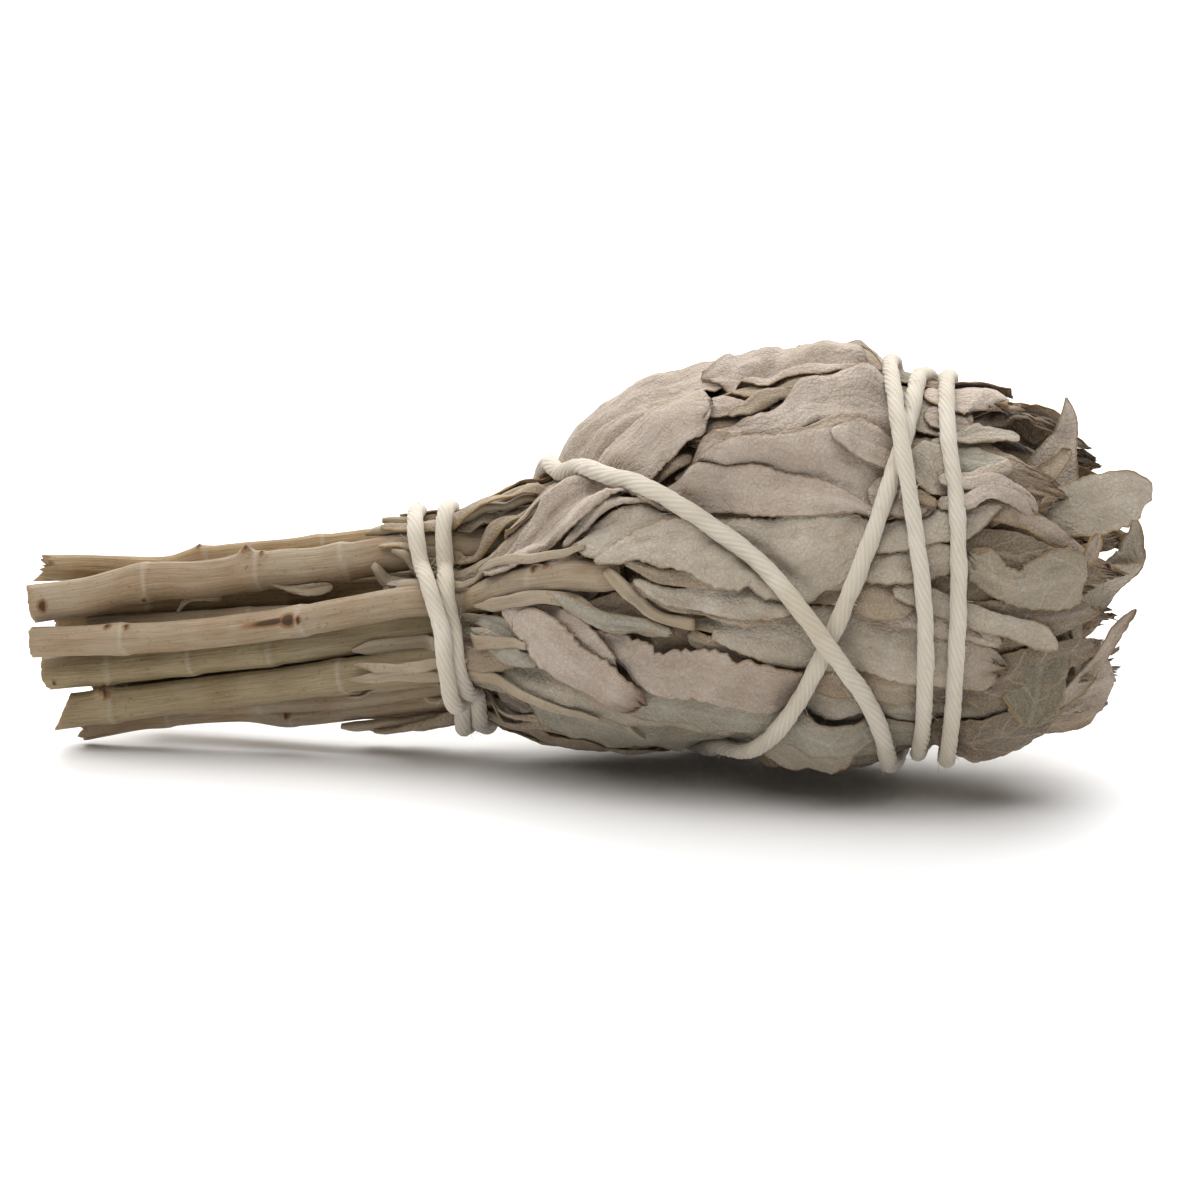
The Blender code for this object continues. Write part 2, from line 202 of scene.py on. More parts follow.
def bed_radius(x, angle):
    """The smaller of the round bed and the flat underside, seen from the centre line."""
    radius = np.interp(x, BUNDLE_CURVE[:, 0], BUNDLE_CURVE[:, 2])
    down = np.maximum(-np.sin(np.radians(angle)), 0.3)
    return np.minimum(radius, (centre_height(x) - FLAT_UNDERSIDE) / down)


def on_bundle(x, angle, rise):
    """Points at (x, angle), `rise` above the bed: radius times cosine forward, sine upward."""
    radius = bed_radius(x, angle) + rise
    turn = np.radians(angle)
    return np.stack([x + 0 * radius, -radius * np.cos(turn),
                     centre_height(x) + radius * np.sin(turn)], axis=-1)


def round_bundle(points):
    """The (x, angle, rise) of points in mm, the other way round."""
    x = points[..., 0]
    above = points[..., 2] - centre_height(x)
    angle = np.degrees(np.arctan2(above, -points[..., 1]))
    return x, angle, np.hypot(points[..., 1], above) - bed_radius(x, angle)


print("bundle from", BUNDLE[0][0], "to", BUNDLE[-1][0], "mm; the bed is up to",
      max(row[2] for row in BUNDLE), "mm in radius")

# %% [markdown]
# ## The twine's route
# The twine is laid last, but its route is needed first, because it draws the leaves in under
# it. It is tied behind the neck, climbs over the leaves to their widest part, goes round them
# three times, crosses over itself on the front on its way back, and ends in two turns round
# the neck. Each turn adds 360 degrees to the angle.

# %% The route, and how far each place is drawn in by it
TWINE_TURNS = (
    ((-15, -186), (-13, -168), (-8, -150), (0, -128), (8, -108), (13, -88), (16, -64), (19, -50),
     (24, -30), (27, -14), (31, 14), (33, 35), (34.3, 60), (34.2, 92), (35, 118), (37.6, 160),
     (38, 225)),
    ((38, -92), (38, -67), (39.5, -30), (40, 5), (39.5, 32), (38, 56), (36.7, 92), (36.2, 118),
     (34.6, 160), (35, 225)),
    ((35.4, -92), (35.4, -64), (36.8, -30), (37, 0), (35.5, 28), (33, 59), (31, 96), (31, 150),
     (32, 215)),
    ((32.8, -92), (32.8, -64), (32.5, -36), (29, -12), (22, 11), (16, 24), (9, 37.5), (5, 48),
     (1, 66), (-2.3, 88), (-7, 150), (-9, 215)),
    ((-9.6, -92), (-9.2, -50), (-10, -10), (-11, 18), (-12.4, 58), (-13.3, 96), (-14, 150),
     (-12.5, 215)),
    ((-11.4, -92), (-10.6, -40), (-11.2, 5), (-12.8, 30), (-14.8, 58), (-16.6, 96), (-17, 145),
     (-16, 172), (-13, 190)))
turns = [(x, (angle + 360 * n) / 3) for n, turn in enumerate(TWINE_TURNS) for x, angle in turn]
twine_x, twine_angle = (smooth(turns, 4200) * (1, 3)).T


class HeightMap:
    """How far above the bed the pieces laid so far rise, on a grid of x and angle."""

    STEP_X = 0.4
    STEP_ANGLE = 1.2
    START_X = -62.0

    def __init__(self, level):
        """Start with every cell at one level in mm."""
        self.rise = np.full((330, 300), float(level))

    def cells(self, x, angle):
        """The row and the column of the grid at each place."""
        i = np.rint((x - self.START_X) / self.STEP_X).astype(int)
        j = np.rint(angle / self.STEP_ANGLE).astype(int) % self.rise.shape[1]
        return np.clip(i, 1, self.rise.shape[0] - 2), j

    def lay(self, x, angle, rise, spread=0):
        """Raise the places that a new piece covers, and their neighbours."""
        i, j = self.cells(x, angle)
        for di in range(-spread, spread + 1):
            for dj in range(-spread, spread + 1):
                np.maximum.at(self.rise, (i + di, (j + dj) % self.rise.shape[1]), rise)

    def top(self, x, angle):
        """The rise at each place."""
        return self.rise[self.cells(x, angle)]


DRAW_REACH = 2.2  # mm to each side of the twine over which leaves are drawn in
DRAW_STRIPS = 23  # close enough side by side to leave no cell out
drawn_in = HeightMap(0)
for side in np.linspace(-2 * DRAW_REACH, 2 * DRAW_REACH, DRAW_STRIPS):
    drawn_in.lay(twine_x + side, twine_angle, math.exp(-((side / DRAW_REACH) ** 2)), spread=1)
print("twine crosses", int((drawn_in.rise > 0.5).sum()), "cells of the map")

# %% [markdown]
# ## Thin closed skins
# Leaves, leaf stalks, stems and twine are all closed skins: a row of rings carried along a
# line. A leaf's ring goes over its outer face and back along its inner face. Writing them as
# rings means that one function can make the mesh for all of them, closed at both ends.

# %% Meshes from rings
def skin(rings, along, across, girth=0.0, sharp=False, **marks):
    """Faces between neighbouring rings, and a strip across the first and the last ring.

    rings is (rows, points, 3) in mm; each ring goes over the outside and then back. along and
    across unroll it: where a ring closes, across goes on by `girth` instead of jumping back.
    With `sharp` the strips at the two turning points and both ends keep a crisp edge.
    """
    rows, points = sizes = rings.shape[:2]
    index = np.arange(rows * points).reshape(rows, points)
    after = np.roll(index, -1, axis=1)
    walls = np.stack([index[:-1], index[1:], after[1:], after[:-1]], axis=-1).reshape(-1, 4)
    half = np.arange(points // 2 - 1)
    first = np.stack([half, half + 1, points - 2 - half, points - 1 - half], axis=-1)
    last = first[:, ::-1] + (rows - 1) * points
    faces = np.vstack([walls, first, last])
    flat = np.stack([np.broadcast_to(along, sizes), np.broadcast_to(across, sizes)], axis=-1)
    flat = flat.reshape(-1, 2)[faces]
    closing = np.arange(points - 1, len(walls), points)
    flat[closing, 2:, 1] += girth
    crisp = np.full(len(faces), sharp)
    crisp[:len(walls)] &= np.arange(len(walls)) % (points // 2) == points // 2 - 1
    marks = {name: np.broadcast_to(mark, sizes).ravel() for name, mark in marks.items()}
    return {"points": rings.reshape(-1, 3), "faces": faces, "flat": flat, "crisp": crisp,
            "marks": marks}


def make_piece(name, skins, finish, replaces=()):
    """Join skins into one mesh object, in metres, that rides on the body of the bundle."""
    starts = np.cumsum([0] + [len(part["points"]) for part in skins])
    points = np.vstack([part["points"] for part in skins]) + BUNDLE_PLACE
    faces = np.vstack([part["faces"] + start for part, start in zip(skins, starts)])
    mesh = bpy.data.meshes.new(name)
    mesh.vertices.add(len(points))
    mesh.vertices.foreach_set("co", (points * MM).ravel())
    mesh.loops.add(faces.size)
    mesh.loops.foreach_set("vertex_index", faces.ravel())
    mesh.polygons.add(len(faces))
    mesh.polygons.foreach_set("loop_start", np.arange(0, faces.size, 4))
    mesh.update(calc_edges=True)
    crisp = np.concatenate([part["crisp"] for part in skins])
    mesh.polygons.foreach_set("use_smooth", ~crisp)
    flat = np.vstack([part["flat"] for part in skins])
    mesh.uv_layers.new(name="surface").data.foreach_set("uv", flat.ravel())
    for mark in skins[0]["marks"]:
        values = np.concatenate([part["marks"][mark] for part in skins])
        mesh.attributes.new(mark, "FLOAT", "POINT").data.foreach_set("value", values)
    mesh.materials.append(finish)
    piece = bpy.data.objects.new(name, mesh)
    bpy.context.scene.collection.objects.link(piece)
    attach(piece, "root")
    if replaces:
        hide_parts(*replaces)


def unit(vectors):
    """Vectors divided by their length."""
    return vectors / np.maximum(np.linalg.norm(vectors, axis=-1, keepdims=True), 1e-9)


def way_along(points):
    """How far along a line of points each one is, in mm."""
    return np.append(0, np.cumsum(np.linalg.norm(np.diff(points, axis=0), axis=1)))


def frames(points, outward):
    """Three directions at each point of a line: along it, across it, and out of the surface."""
    along = unit(np.gradient(points, axis=0))
    out = unit(outward - (outward * along).sum(-1, keepdims=True) * along)
    return along, np.cross(out, along), out


def swept(points, outward, across, up):
    """A ring at each point of a line: the point plus `across` and `up` in the line's frame."""
    side, out = frames(points, outward)[1:]
    return points[:, None] + side[:, None] * across[..., None] + out[:, None] * up[..., None]


def outward_from_axis(points):
    """The direction straight out from the bundle's centre line."""
    out = points * (0, 1, 1)
    out[:, 2] -= centre_height(points[:, 0])
    return unit(out)


def wander(rng, way, length):
    """A sum of four sine waves about `length` long with random phases, mostly within 1."""
    waves = 2 * np.pi / length * rng.uniform(0.5, 1.7, 4)
    phases = rng.uniform(0, 2 * np.pi, 4)
    return sum(np.sin(way * w + p) for w, p in zip(waves, phases)) / math.sqrt(4)


def lumps(rng, along, across, length):
    """The same on a sheet: six plane waves that run in random directions."""
    total = 0
    for direction in rng.uniform(0, 2 * np.pi, 6):
        wave = 2 * np.pi / length * rng.uniform(0.6, 1.6)
        place = along * math.cos(direction) + across * math.sin(direction)
        total = total + np.sin(wave * place + rng.uniform(0, 2 * np.pi))
    return total / math.sqrt(6)


print("ring and mesh helpers ready")

# %% [markdown]
# ## Finish: dried stem bark
# White sage stems dry to a pale woody tan with fine ribs along them, greyer at the leaf joints,
# golden where the skin has rubbed off and dark brown in the scars. The streaks could be a
# picture, but stretched noise on the stem's own unrolled surface gives the same look at any
# size: 8 mm long and 0.45 mm wide, as the fibres are. Every finish here is built in the same
# two steps, how strongly each layer shows and then what it does, so both are functions.

# %% The bark material
def strengths(tree, noises, marks, detail=3):
    """How strongly each layer shows, by name.

    A noise, in patches of a size, shows from 0 to `most` as it rises from low to high. A mark
    is stored on the mesh, and its layer goes from `start` to `most` as it rises so.
    """
    share = {}
    for layer, vector, size, low, high, most in noises:
        noise = node(tree, "ShaderNodeTexNoise", 0, {"Vector": vector, "Scale": 1 / size,
                                                     "Detail": detail})
        share[layer] = node(tree, "ShaderNodeMapRange", 0, {0: noise, 1: low, 2: high, 4: most})
    for layer, mark, low, high, start, most in marks:
        value = node(tree, "ShaderNodeAttribute", "Fac", attribute_name=mark)
        share[layer] = node(tree, "ShaderNodeMapRange", 0, {0: value, 1: low, 2: high, 3: start,
                                                            4: most})
    return share


def build_up(tree, shader, share, colour, overs, heights, strength, deep):
    """Lay each colour over those before it, and sum weight x strength as a bump `deep` mm."""
    for layer, over in overs:
        colour = node(tree, "ShaderNodeMix", 2, {0: share[layer], 6: colour, 7: over},
                      data_type="RGBA")
    tree.links.new(colour, shader.inputs["Base Color"])
    height = 0.0
    for layer, weight in heights:
        height = node(tree, "ShaderNodeMath", 0, {0: share[layer], 1: weight, 2: height},
                      operation="MULTIPLY_ADD")
    bump = node(tree, "ShaderNodeBump", 0, {"Strength": strength, "Distance": deep * MM,
                                            "Height": height})
    tree.links.new(bump, shader.inputs["Normal"])


def bark_finish(name, pale, golden, grey):
    """Dried sage stem: matt, ribbed lengthwise, with greyer joints and brown scars."""
    made, tree, shader = new_finish(name, {"Roughness": 0.72, "Specular IOR Level": 0.35})
    surface = node(tree, "ShaderNodeUVMap", uv_map="surface")
    place = node(tree, "ShaderNodeTexCoord", "Object")
    fibres = node(tree, "ShaderNodeMapping", 0, {"Vector": surface, "Scale": (1 / 8, 1 / 0.45, 1)})
    threads = node(tree, "ShaderNodeMapping", 0, {"Vector": surface, "Scale": (1 / 3, 1 / 0.16, 1)})
    share = strengths(tree, (("patches", place, 5 * MM, 0.35, 0.65, 0.9),
                             ("grey patches", place, 11 * MM, 0.48, 0.66, 0.5),
                             ("streaks", fibres, 1, 0.3, 0.7, 0.36),
                             ("threads", threads, 1, 0.3, 0.7, 0.30),
                             ("spots", place, 0.45 * MM, 0.60, 0.74, 0.45)),
                      (("joint", "joint", 0.1, 1, 0, 0.32), ("cut", "cut", 0, 1, 0, 0.8),
                       ("torn skin", "scar", 0.12, 0.3, 0, 0.85),
                       ("scar", "scar", 0.45, 0.75, 0, 0.9)))
    build_up(tree, shader, share, pale,
             (("patches", golden), ("grey patches", grey), ("streaks", "#5f4a33"),
              ("threads", "#b9ab93"), ("spots", "#5a4026"), ("joint", "#b9b0a4"),
              ("cut", "#8c7450"), ("torn skin", "#7f5b38"), ("scar", "#35210f")),
             (("streaks", 2.6), ("threads", 2.2), ("scar", -1.2)), 0.5, 0.12)
    return made


# The same bark in three tones: bare wood tan, golden where the skin is gone, olive where it is
# younger
BARK = bark_finish("dried sage stem bark", "#9a8a72", "#8a6e4e", "#938877")
GOLDEN_BARK = bark_finish("golden dried stem bark", "#9a7f54", "#7f6138", "#8c7b60")
OLIVE_BARK = bark_finish("olive dried stem bark", "#928360", "#7b6844", "#8a7f66")
print("bark finishes:", BARK.name + ",", GOLDEN_BARK.name, "and", OLIVE_BARK.name)

# %% [markdown]
# ## Stems
# Eleven stems carry the leaves. A sage stem isn't a plain rod: it is a little square, swells at
# each leaf joint, where it keeps a ring and a scar or a stub of the side shoot, and its end is
# cut or torn. Each is a ring whose radius is a function of the place along and around it.

# %% The stem surface
AROUND_STEM = 36  # points round a stem
ROW_STEP = 0.36  # mm between the rings of a stem
STEM_OUTWARD = np.array((0, 0.25, -1))  # the side where a ring starts: under it, out of sight


def end_rings(rng, place, side, out, along, ring, shift, sign):
    """Rings that shrink from the lip to the pith, 96 % to 5 % of the rim, the last hollow."""
    rings = []
    for shrink, depth in ((0.96, 0.0), (0.85, -0.04), (0.55, 0.04), (0.22, 0.22), (0.05, 0.3)):
        inward = sign * (depth + 0.03 * rng.uniform(-1, 1, AROUND_STEM)) + shift * shrink
        rings.append(place + side * (ring[0] * shrink)[:, None] + out * (ring[1] * shrink)[:, None]
                     + along * inward[:, None])
    return rings


def stem_skin(rng, radius, path, joints, stubs=(), ragged=0.06, slant=0.0):
    """Radius = base x (squareness + ribs + a bell-shaped swelling at each joint) + stubs.

    The near end's lip is shifted by slant x sine and ragged waves. A stub is (mm along, degrees
    round from the near side, height, length, width): a bell-shaped hump, or a scar if it is low.
    """
    length = way_along(smooth(path, 80))[-1]
    rows = int(length / ROW_STEP)
    line = smooth(path, rows)
    way = way_along(line)
    turn = np.linspace(0, 2 * np.pi, AROUND_STEM, endpoint=False) + np.pi / 2 / AROUND_STEM
    ribs = sum(rng.uniform(0.004, 0.013) * np.sin(k * turn + rng.uniform(0, 6.3))
               for k in range(5, 15, 2))
    shape = 1 + 0.03 * np.cos(4 * (turn + 0.15 * way[:, None] / length)) + ribs + 0.015 * lumps(
        rng, way[:, None], turn * radius, 7.0)
    swollen = np.zeros((rows, 1))
    ringed = np.zeros((rows, AROUND_STEM))
    for joint in joints:
        off = way[:, None] - joint - 0.18 * np.sin(turn + rng.uniform(0, 6)) - 0.06 * rng.uniform(
            -1, 1, AROUND_STEM)
        swollen = swollen + 0.09 * np.exp(-(((way[:, None] - joint + 0.5) / 1.3) ** 2))
        swollen = swollen - 0.035 * np.exp(-(((way[:, None] - joint - 0.9) / 0.5) ** 2))
        ringed = np.maximum(ringed, np.exp(-((off / 0.24) ** 2)))
    reach = radius * shape * (1 + swollen + 0.02 * ringed)
    scar = np.zeros_like(reach)
    for where, angle, height, long, wide in stubs:
        across = np.radians((np.degrees(turn) - angle) % 360 - 180) * radius
        off = way[:, None] - where
        near = np.exp(-(off / np.where(off < 0, long, 0.45 * long)) ** 2 - (across / wide) ** 2)
        reach = reach + height * near * (1 + 0.25 * lumps(rng, way[:, None], across, 0.8))
        low = 0.2 if height < 0.3 else 0.35
        scar = np.maximum(scar, np.clip((near - low) / (0.9 - low), 0, 1))
    lag = slant * np.sin(turn) + ragged * (wander(rng, turn, 1.3) + 0.5 * wander(rng, turn, 0.4))
    shift = lag * np.exp(-way / 0.9)[:, None]
    along_line, side, out = frames(line, np.broadcast_to(STEM_OUTWARD, line.shape))
    across, up = -np.cos(turn) * reach, np.sin(turn) * reach
    body = (line[:, None] + side[:, None] * across[..., None] + out[:, None] * up[..., None]
            + along_line[:, None] * shift[..., None])
    first, last = [end_rings(rng, line[k], side[k], out[k], along_line[k], (across[k], up[k]),
                             shift[k], sign) for k, sign in ((0, 1), (-1, -1))]
    rings = np.array([*first[::-1], *body, *last])
    count = len(first)
    cut = np.zeros((len(rings), AROUND_STEM))
    cut[:count] = cut[-count:] = 1
    cut[count:count + 2] = 0.4
    scar = np.pad(scar, ((count, count), (0, 0)))
    scar[:2] = 0.5
    along = np.pad(way, count, mode="edge")[:, None]
    made = skin(rings, along + rng.uniform(0, 900), turn * radius, 2 * np.pi * radius,
                joint=np.pad(ringed, ((count, count), (0, 0))), scar=scar, cut=cut)
    made["surface"] = body
    return made


print("a stem has", AROUND_STEM, "points round and a ring every", ROW_STEP, "mm")

# %% The eleven stems, and the ones hidden behind them
# name: radius, path in mm, joints in mm from the cut end, stubs, how ragged and slanted the cut
# end is in mm, and the bark
STEMS = {
    "top_front": (1.9, ((-55, -5.5, 15.5), (-49.8, -4.5, 16.2), (-43.6, -3.3, 17.7),
                         (-37.2, -3, 18.2), (-32, -2.2, 19.1), (-24.7, -2, 20),
                         (-15.6, -0.5, 21.6), (-8, 0.3, 22.4), (0, 0.6, 24.6), (10, 0.8, 27)),
                  (12, 23.6, 32.5),
                  ((1.5, 14, 0.24, 0.75, 0.8), (1.5, 14, -0.2, 0.35, 0.35),
                   (22.9, 88, 1, 0.8, 0.42), (24.4, 80, 0.4, 0.4, 0.5),
                   (11.6, 330, 0.35, 0.5, 0.45)), 0.08, 0.1, BARK),
    "top_back": (1.35, ((-55.2, 1, 17.7), (-50.7, 1, 17.9), (-43, 1.5, 17.9),
                        (-38.6, 2, 19), (-29, 2.6, 20.2), (-17.4, 3.5, 21.8),
                        (-5, 4.2, 23), (8, 4.6, 26)),
                 (17, 29), ((16.5, 90, 0.35, 0.5, 0.5),), 0.8, -0.6, GOLDEN_BARK),
    "middle_recessed": (1.6, ((-53.4, -1.6, 13.5), (-41.4, -0.5, 15.2), (-28, 0.6, 16.2),
                               (-15, 0.3, 17.2), (0, 0.4, 21), (10, 0.4, 23)),
                        (9.6, 24), ((9, 60, 0.5, 0.5, 0.5),), 0.3, 0.2, GOLDEN_BARK),
    "front": (1.55, ((-54.4, -7.3, 11.9), (-46.6, -6.9, 12.4), (-37, -7, 13.4),
                     (-26.6, -7.1, 15.2), (-15.3, -7.4, 17.7)),
              (9.6, 28.4, 46, 58.5),
              ((8.2, 78, 0.22, 0.6, 0.45), (10.2, 72, 0.3, 0.5, 0.45),
               (25.6, 36, 0.1, 3.4, 0.4), (27.4, 34, 0.28, 1.3, 0.75),
               (28.4, 30, 0.5, 0.4, 0.5), (59.3, 62, 0.45, 0.7, 0.5), (60.6, 70, 0.4, 0.5, 0.4)),
              0.06, 0, BARK),
    "front_recessed": (1.7, ((-54, -4, 7.9), (-46.3, -3.9, 8.9), (-37.8, -4.2, 10.3),
                             (-28.8, -4.5, 11.8), (-16.9, -4.4, 13.9), (-6, -4.8, 16),
                             (8, -5.4, 19)),
                       (6.6, 15.7, 24.2),
                       ((6.4, 312, 0.6, 0.6, 0.5), (14.8, 84, 0.7, 0.7, 0.5),
                        (11, 80, 0.25, 0.5, 0.4), (1.2, 350, 0.2, 0.4, 0.4)),
                       0.1, 0.2, OLIVE_BARK),
    "front_low": (1.75, ((-52.2, -4.6, 4.1), (-46, -4.3, 5.1), (-37.6, -4.3, 6.5),
                         (-27.2, -5, 8.4), (-16.6, -6.4, 10.6), (-6, -7.4, 12.2),
                         (8, -8.4, 15)),
                  (5.4, 30), ((4.9, 75, 0.7, 0.9, 0.6), (5.3, 60, 0.4, 0.5, 0.7)),
                  0.1, -1.2, OLIVE_BARK),
    "lowest": (1.3, ((-51.2, -1.5, 1.6), (-44, -0.6, 3), (-35.4, 0, 3.9),
                     (-28.6, 0, 3.8), (-15, -0.8, 6.2), (0, -1.2, 9)),
               (9, 22), ((22, 20, 0.3, 0.6, 0.5),), 0.3, 0.2, BARK),
    "low_back": (1.2, ((-46, 6, 4.4), (-38, 5.2, 3.8), (-29, 4, 3.4),
                       (-15.3, 3.4, 4.6), (0, 3.4, 8)),
                 (14,), (), 0.4, 0.3, BARK),
    "back_lower": (1.8, ((-54, 3.2, 8.6), (-40, 4, 10.3), (-26, 4.2, 11.4),
                         (-15, 4.2, 11.6), (0, 4.6, 14)),
                   (8, 21, 34), ((8, 190, 0.4, 0.6, 0.6), (21, 170, 0.3, 0.6, 0.6)),
                   0.15, 0.2, BARK),
    "back_upper": (1.7, ((-53, 5, 13), (-40, 6, 14.3), (-26, 6.2, 15.9),
                         (-15, 6.2, 16.4), (0, 7, 20)),
                   (12, 26), ((12, 150, 0.4, 0.6, 0.6), (26, 200, 0.3, 0.8, 0.6)),
                   0.15, -0.3, BARK),
    "centre": (1.6, ((-53, -0.5, 10.8), (-40, -0.4, 11.5), (-26, -0.4, 12.5),
                     (-15, -0.2, 13.2), (0, 0, 17)),
               (14, 30), (), 0.2, 0, BARK),
}
HIDDEN_STEMS = (  # radius, path and joints
    (1.2, ((-50, -2.4, 12.6), (-42, -2.4, 13.2), (-30, -2.6, 14.4), (-14, -3, 16)), (17,)),
    (1.1, ((-40, -1.6, 4.6), (-30, -1.8, 5.4), (-22, -2, 6.3), (-12, -2.6, 8.4)), (8,)),
    (1.3, ((-46, -1.6, 5.4), (-34, -2.2, 6.6), (-22, -3.2, 8.2), (-10, -3.6, 10)), (11,)),
    (1.5, ((-50, -0.6, 6.6), (-40, -0.6, 8.2), (-26, -0.8, 9.8), (-12, -1, 12)), (9, 25)),
    (1.3, ((-47, 2.6, 13), (-34, 2.6, 14.2), (-22, 2.6, 14.6), (-10, 2.8, 16)), (12, 28)),
    (1.2, ((-44, 1.2, 7), (-34, 1.4, 7.2), (-22, 1.2, 8.2), (-10, 1, 10)), (10, 22)),
)


def lay_stem(name, far_end=()):
    """Make one stem of the table, with further places at its far end if need be, and lay it."""
    radius, path, joints, stubs, ragged, slant, finish = STEMS[name]
    rng = np.random.default_rng(100 + list(STEMS).index(name))
    part = stem_skin(rng, radius, (*path, *far_end), joints, stubs, ragged, slant)
    make_piece("sage_stem_" + name, [part], finish, ["stem_" + name])
    laid.lay(*round_bundle(part["surface"]), spread=1)


NOTHING_LAID = -20.0  # mm, deeper than the bundle
laid = HeightMap(NOTHING_LAID)
for name in STEMS:
    if name != "front":  # this one lies over the lowest leaves, so it is laid after them
        lay_stem(name)
hidden_rng = np.random.default_rng(130)
make_piece("sage_stems_inside", [stem_skin(hidden_rng, *row) for row in HIDDEN_STEMS], BARK)
print(len(STEMS) - 1, "stems laid, and", len(HIDDEN_STEMS), "inside the bundle")

# %% [markdown]
# ## Finish: dried sage leaf
# A white sage leaf is thick and covered with short white down, so it is matt and looks dusty:
# grey-green where the down is whole, pinkish tan where it has thinned. Its skin is pebbled, in
# cells half a millimetre wide, with side veins 3 mm apart, dry wrinkles, and a thin tan rim
# where the margin has dried. The cells are a cell pattern's distance to its own borders. Their
# sunken borders, a coarser vein net and the wrinkles are darkened, as painted shade. The hairs
# of the down are far too fine to show, so they are drawn as flecks 0.2 mm wide.

# %% The leaf material
def leaf_finish(name, pale, tint, deep):
    """Downy dried leaf: pale over tinted patches, pebbled, wrinkled, with a tan dried rim.

    The sunken cell borders, vein net and creases are darkened as painted shade, and the tone
    mark mixes in `deep`: a darker tone of the leaf, and painted shade where it is set high.
    """
    made, tree, shader = new_finish(name, {
        "Roughness": 0.9, "Specular IOR Level": 0.2, "Sheen Weight": 0.18,
        "Sheen Roughness": 0.6, "Sheen Tint": linear("#efe9e4")})
    place = node(tree, "ShaderNodeTexCoord", "Object")
    surface = node(tree, "ShaderNodeUVMap", uv_map="surface")
    crease_shade = node(tree, "ShaderNodeMapping", 0, {"Vector": surface, "Scale": (1 / 3.5, 1, 1)})
    share = strengths(tree, (("patches", place, 6 * MM, 0.35, 0.65, 1.0),
                             ("blotches", place, 1.6 * MM, 0.50, 0.72, 0.34),
                             # painted shade in the troughs of the fine creases along the leaf
                             ("crease_shade", crease_shade, 0.7, 0.40, 0.70, 0.20),
                             ("down", place, 0.22 * MM, 0.35, 0.65, 0.14),
                             ("specks", place, 0.5 * MM, 0.70, 0.76, 0.5),
                             ("bend", surface, 2.5, 0.3, 0.7, 0.9)),
                      (("rim", "rim", 0.04, 0.22, 0.75, 0), ("tone", "tone", 0, 1, 0, 1),
                       ("worn", "worn", 0.2, 0.8, 0, 0.85), ("golden", "golden", 0, 1, 0, 0.75)))
    # Painted shade: the sunken borders of the pebbled cells and of the vein net are darkened
    for layer, size, border, most in (("cells", 0.50 * MM, 0.20, 0.14),
                                      ("net_shade", 2.3 * MM, 0.06, 0.07)):
        distance = node(tree, "ShaderNodeTexVoronoi", "Distance", {"Vector": place, "Scale": 1 / size},
                        feature="DISTANCE_TO_EDGE")
        share[layer] = node(tree, "ShaderNodeMapRange", 0, {0: distance, 2: border, 3: most, 4: 0})
    x = node(tree, "ShaderNodeSeparateXYZ", "X", {0: surface})
    y = node(tree, "ShaderNodeSeparateXYZ", "Y", {0: surface})
    from_midrib = node(tree, "ShaderNodeMath", 0, {0: y}, operation="ABSOLUTE")
    slanted = node(tree, "ShaderNodeMath", 0, {0: from_midrib, 1: -1.15, 2: x},
                   operation="MULTIPLY_ADD")
    slanted = node(tree, "ShaderNodeMath", 0, {0: slanted, 1: share["bend"]}, operation="ADD")
    to_vein = node(tree, "ShaderNodeMath", 0, {0: slanted, 1: 1.5}, operation="PINGPONG")
    share["veins"] = node(tree, "ShaderNodeMapRange", 0, {0: to_vein, 2: 0.22, 3: 0.20, 4: 0})
    share["midrib"] = node(tree, "ShaderNodeMapRange", 0, {0: from_midrib, 1: 0.1, 2: 0.36,
                                                           3: 0.12, 4: 0})
    build_up(tree, shader, share, pale,
             (("patches", tint), ("tone", deep), ("blotches", "#9c7f60"), ("crease_shade", "#6f6353"),
              ("down", "#d2c9be"), ("cells", "#655a4b"), ("net_shade", "#5f5242"),
              ("veins", "#c3b8a6"), ("midrib", "#c3b8a6"), ("specks", "#6b4426"),
              ("rim", "#80694a"), ("worn", "#5f4127"), ("golden", "#94743f")),
             (("cells", -3.0), ("net_shade", -2.0), ("veins", -2.0), ("midrib", -2.6),
              ("blotches", 1.6), ("crease_shade", -4.4), ("down", 2.0)), 0.85, 0.14)
    return made


LEAF = {  # a leaf's stalk has the skin of the stems
    # The third colour of each finish is what the tone mark mixes in: a darker tone of the leaf, and
    # painted shade where the mark is set high
    "silver": leaf_finish("silver dried sage leaf", "#b8ad9d", "#aa9f8e", "#847a65"),
    "rosy": leaf_finish("rosy dried sage leaf", "#bfb1a4", "#ae9e8f", "#877562"),
    "green": leaf_finish("grey green dried sage leaf", "#adaa9c", "#a09a8a", "#67604a"),
    "tan": leaf_finish("tan dried sage leaf", "#ab9b85", "#9a876e", "#6c563c"),
    "stalk": bark_finish("dried sage leaf stalk", "#a89a83", "#96836a", "#9f9584"),
    # painted shade: this darker finish goes on leaves deep in the bundle, in its gaps and hollows
    "shade": leaf_finish("brown sage leaf darkened as painted shade", "#7d7060", "#69593f", "#40301c"),
}
print("leaf finishes:", ", ".join(LEAF))

# %% [markdown]
# ## The leaf surface
# A leaf starts as a midrib with a half width at each place along it. Its cross-section is then
# bent as a strip of paper is: each step outwards from the midrib turns by a little more, so the
# blade can fold at the midrib, cup, and roll its margins over or under. The bent strip is laid
# on the bundle like a stiff sheet: it rests on the highest things near it and bridges hollows.

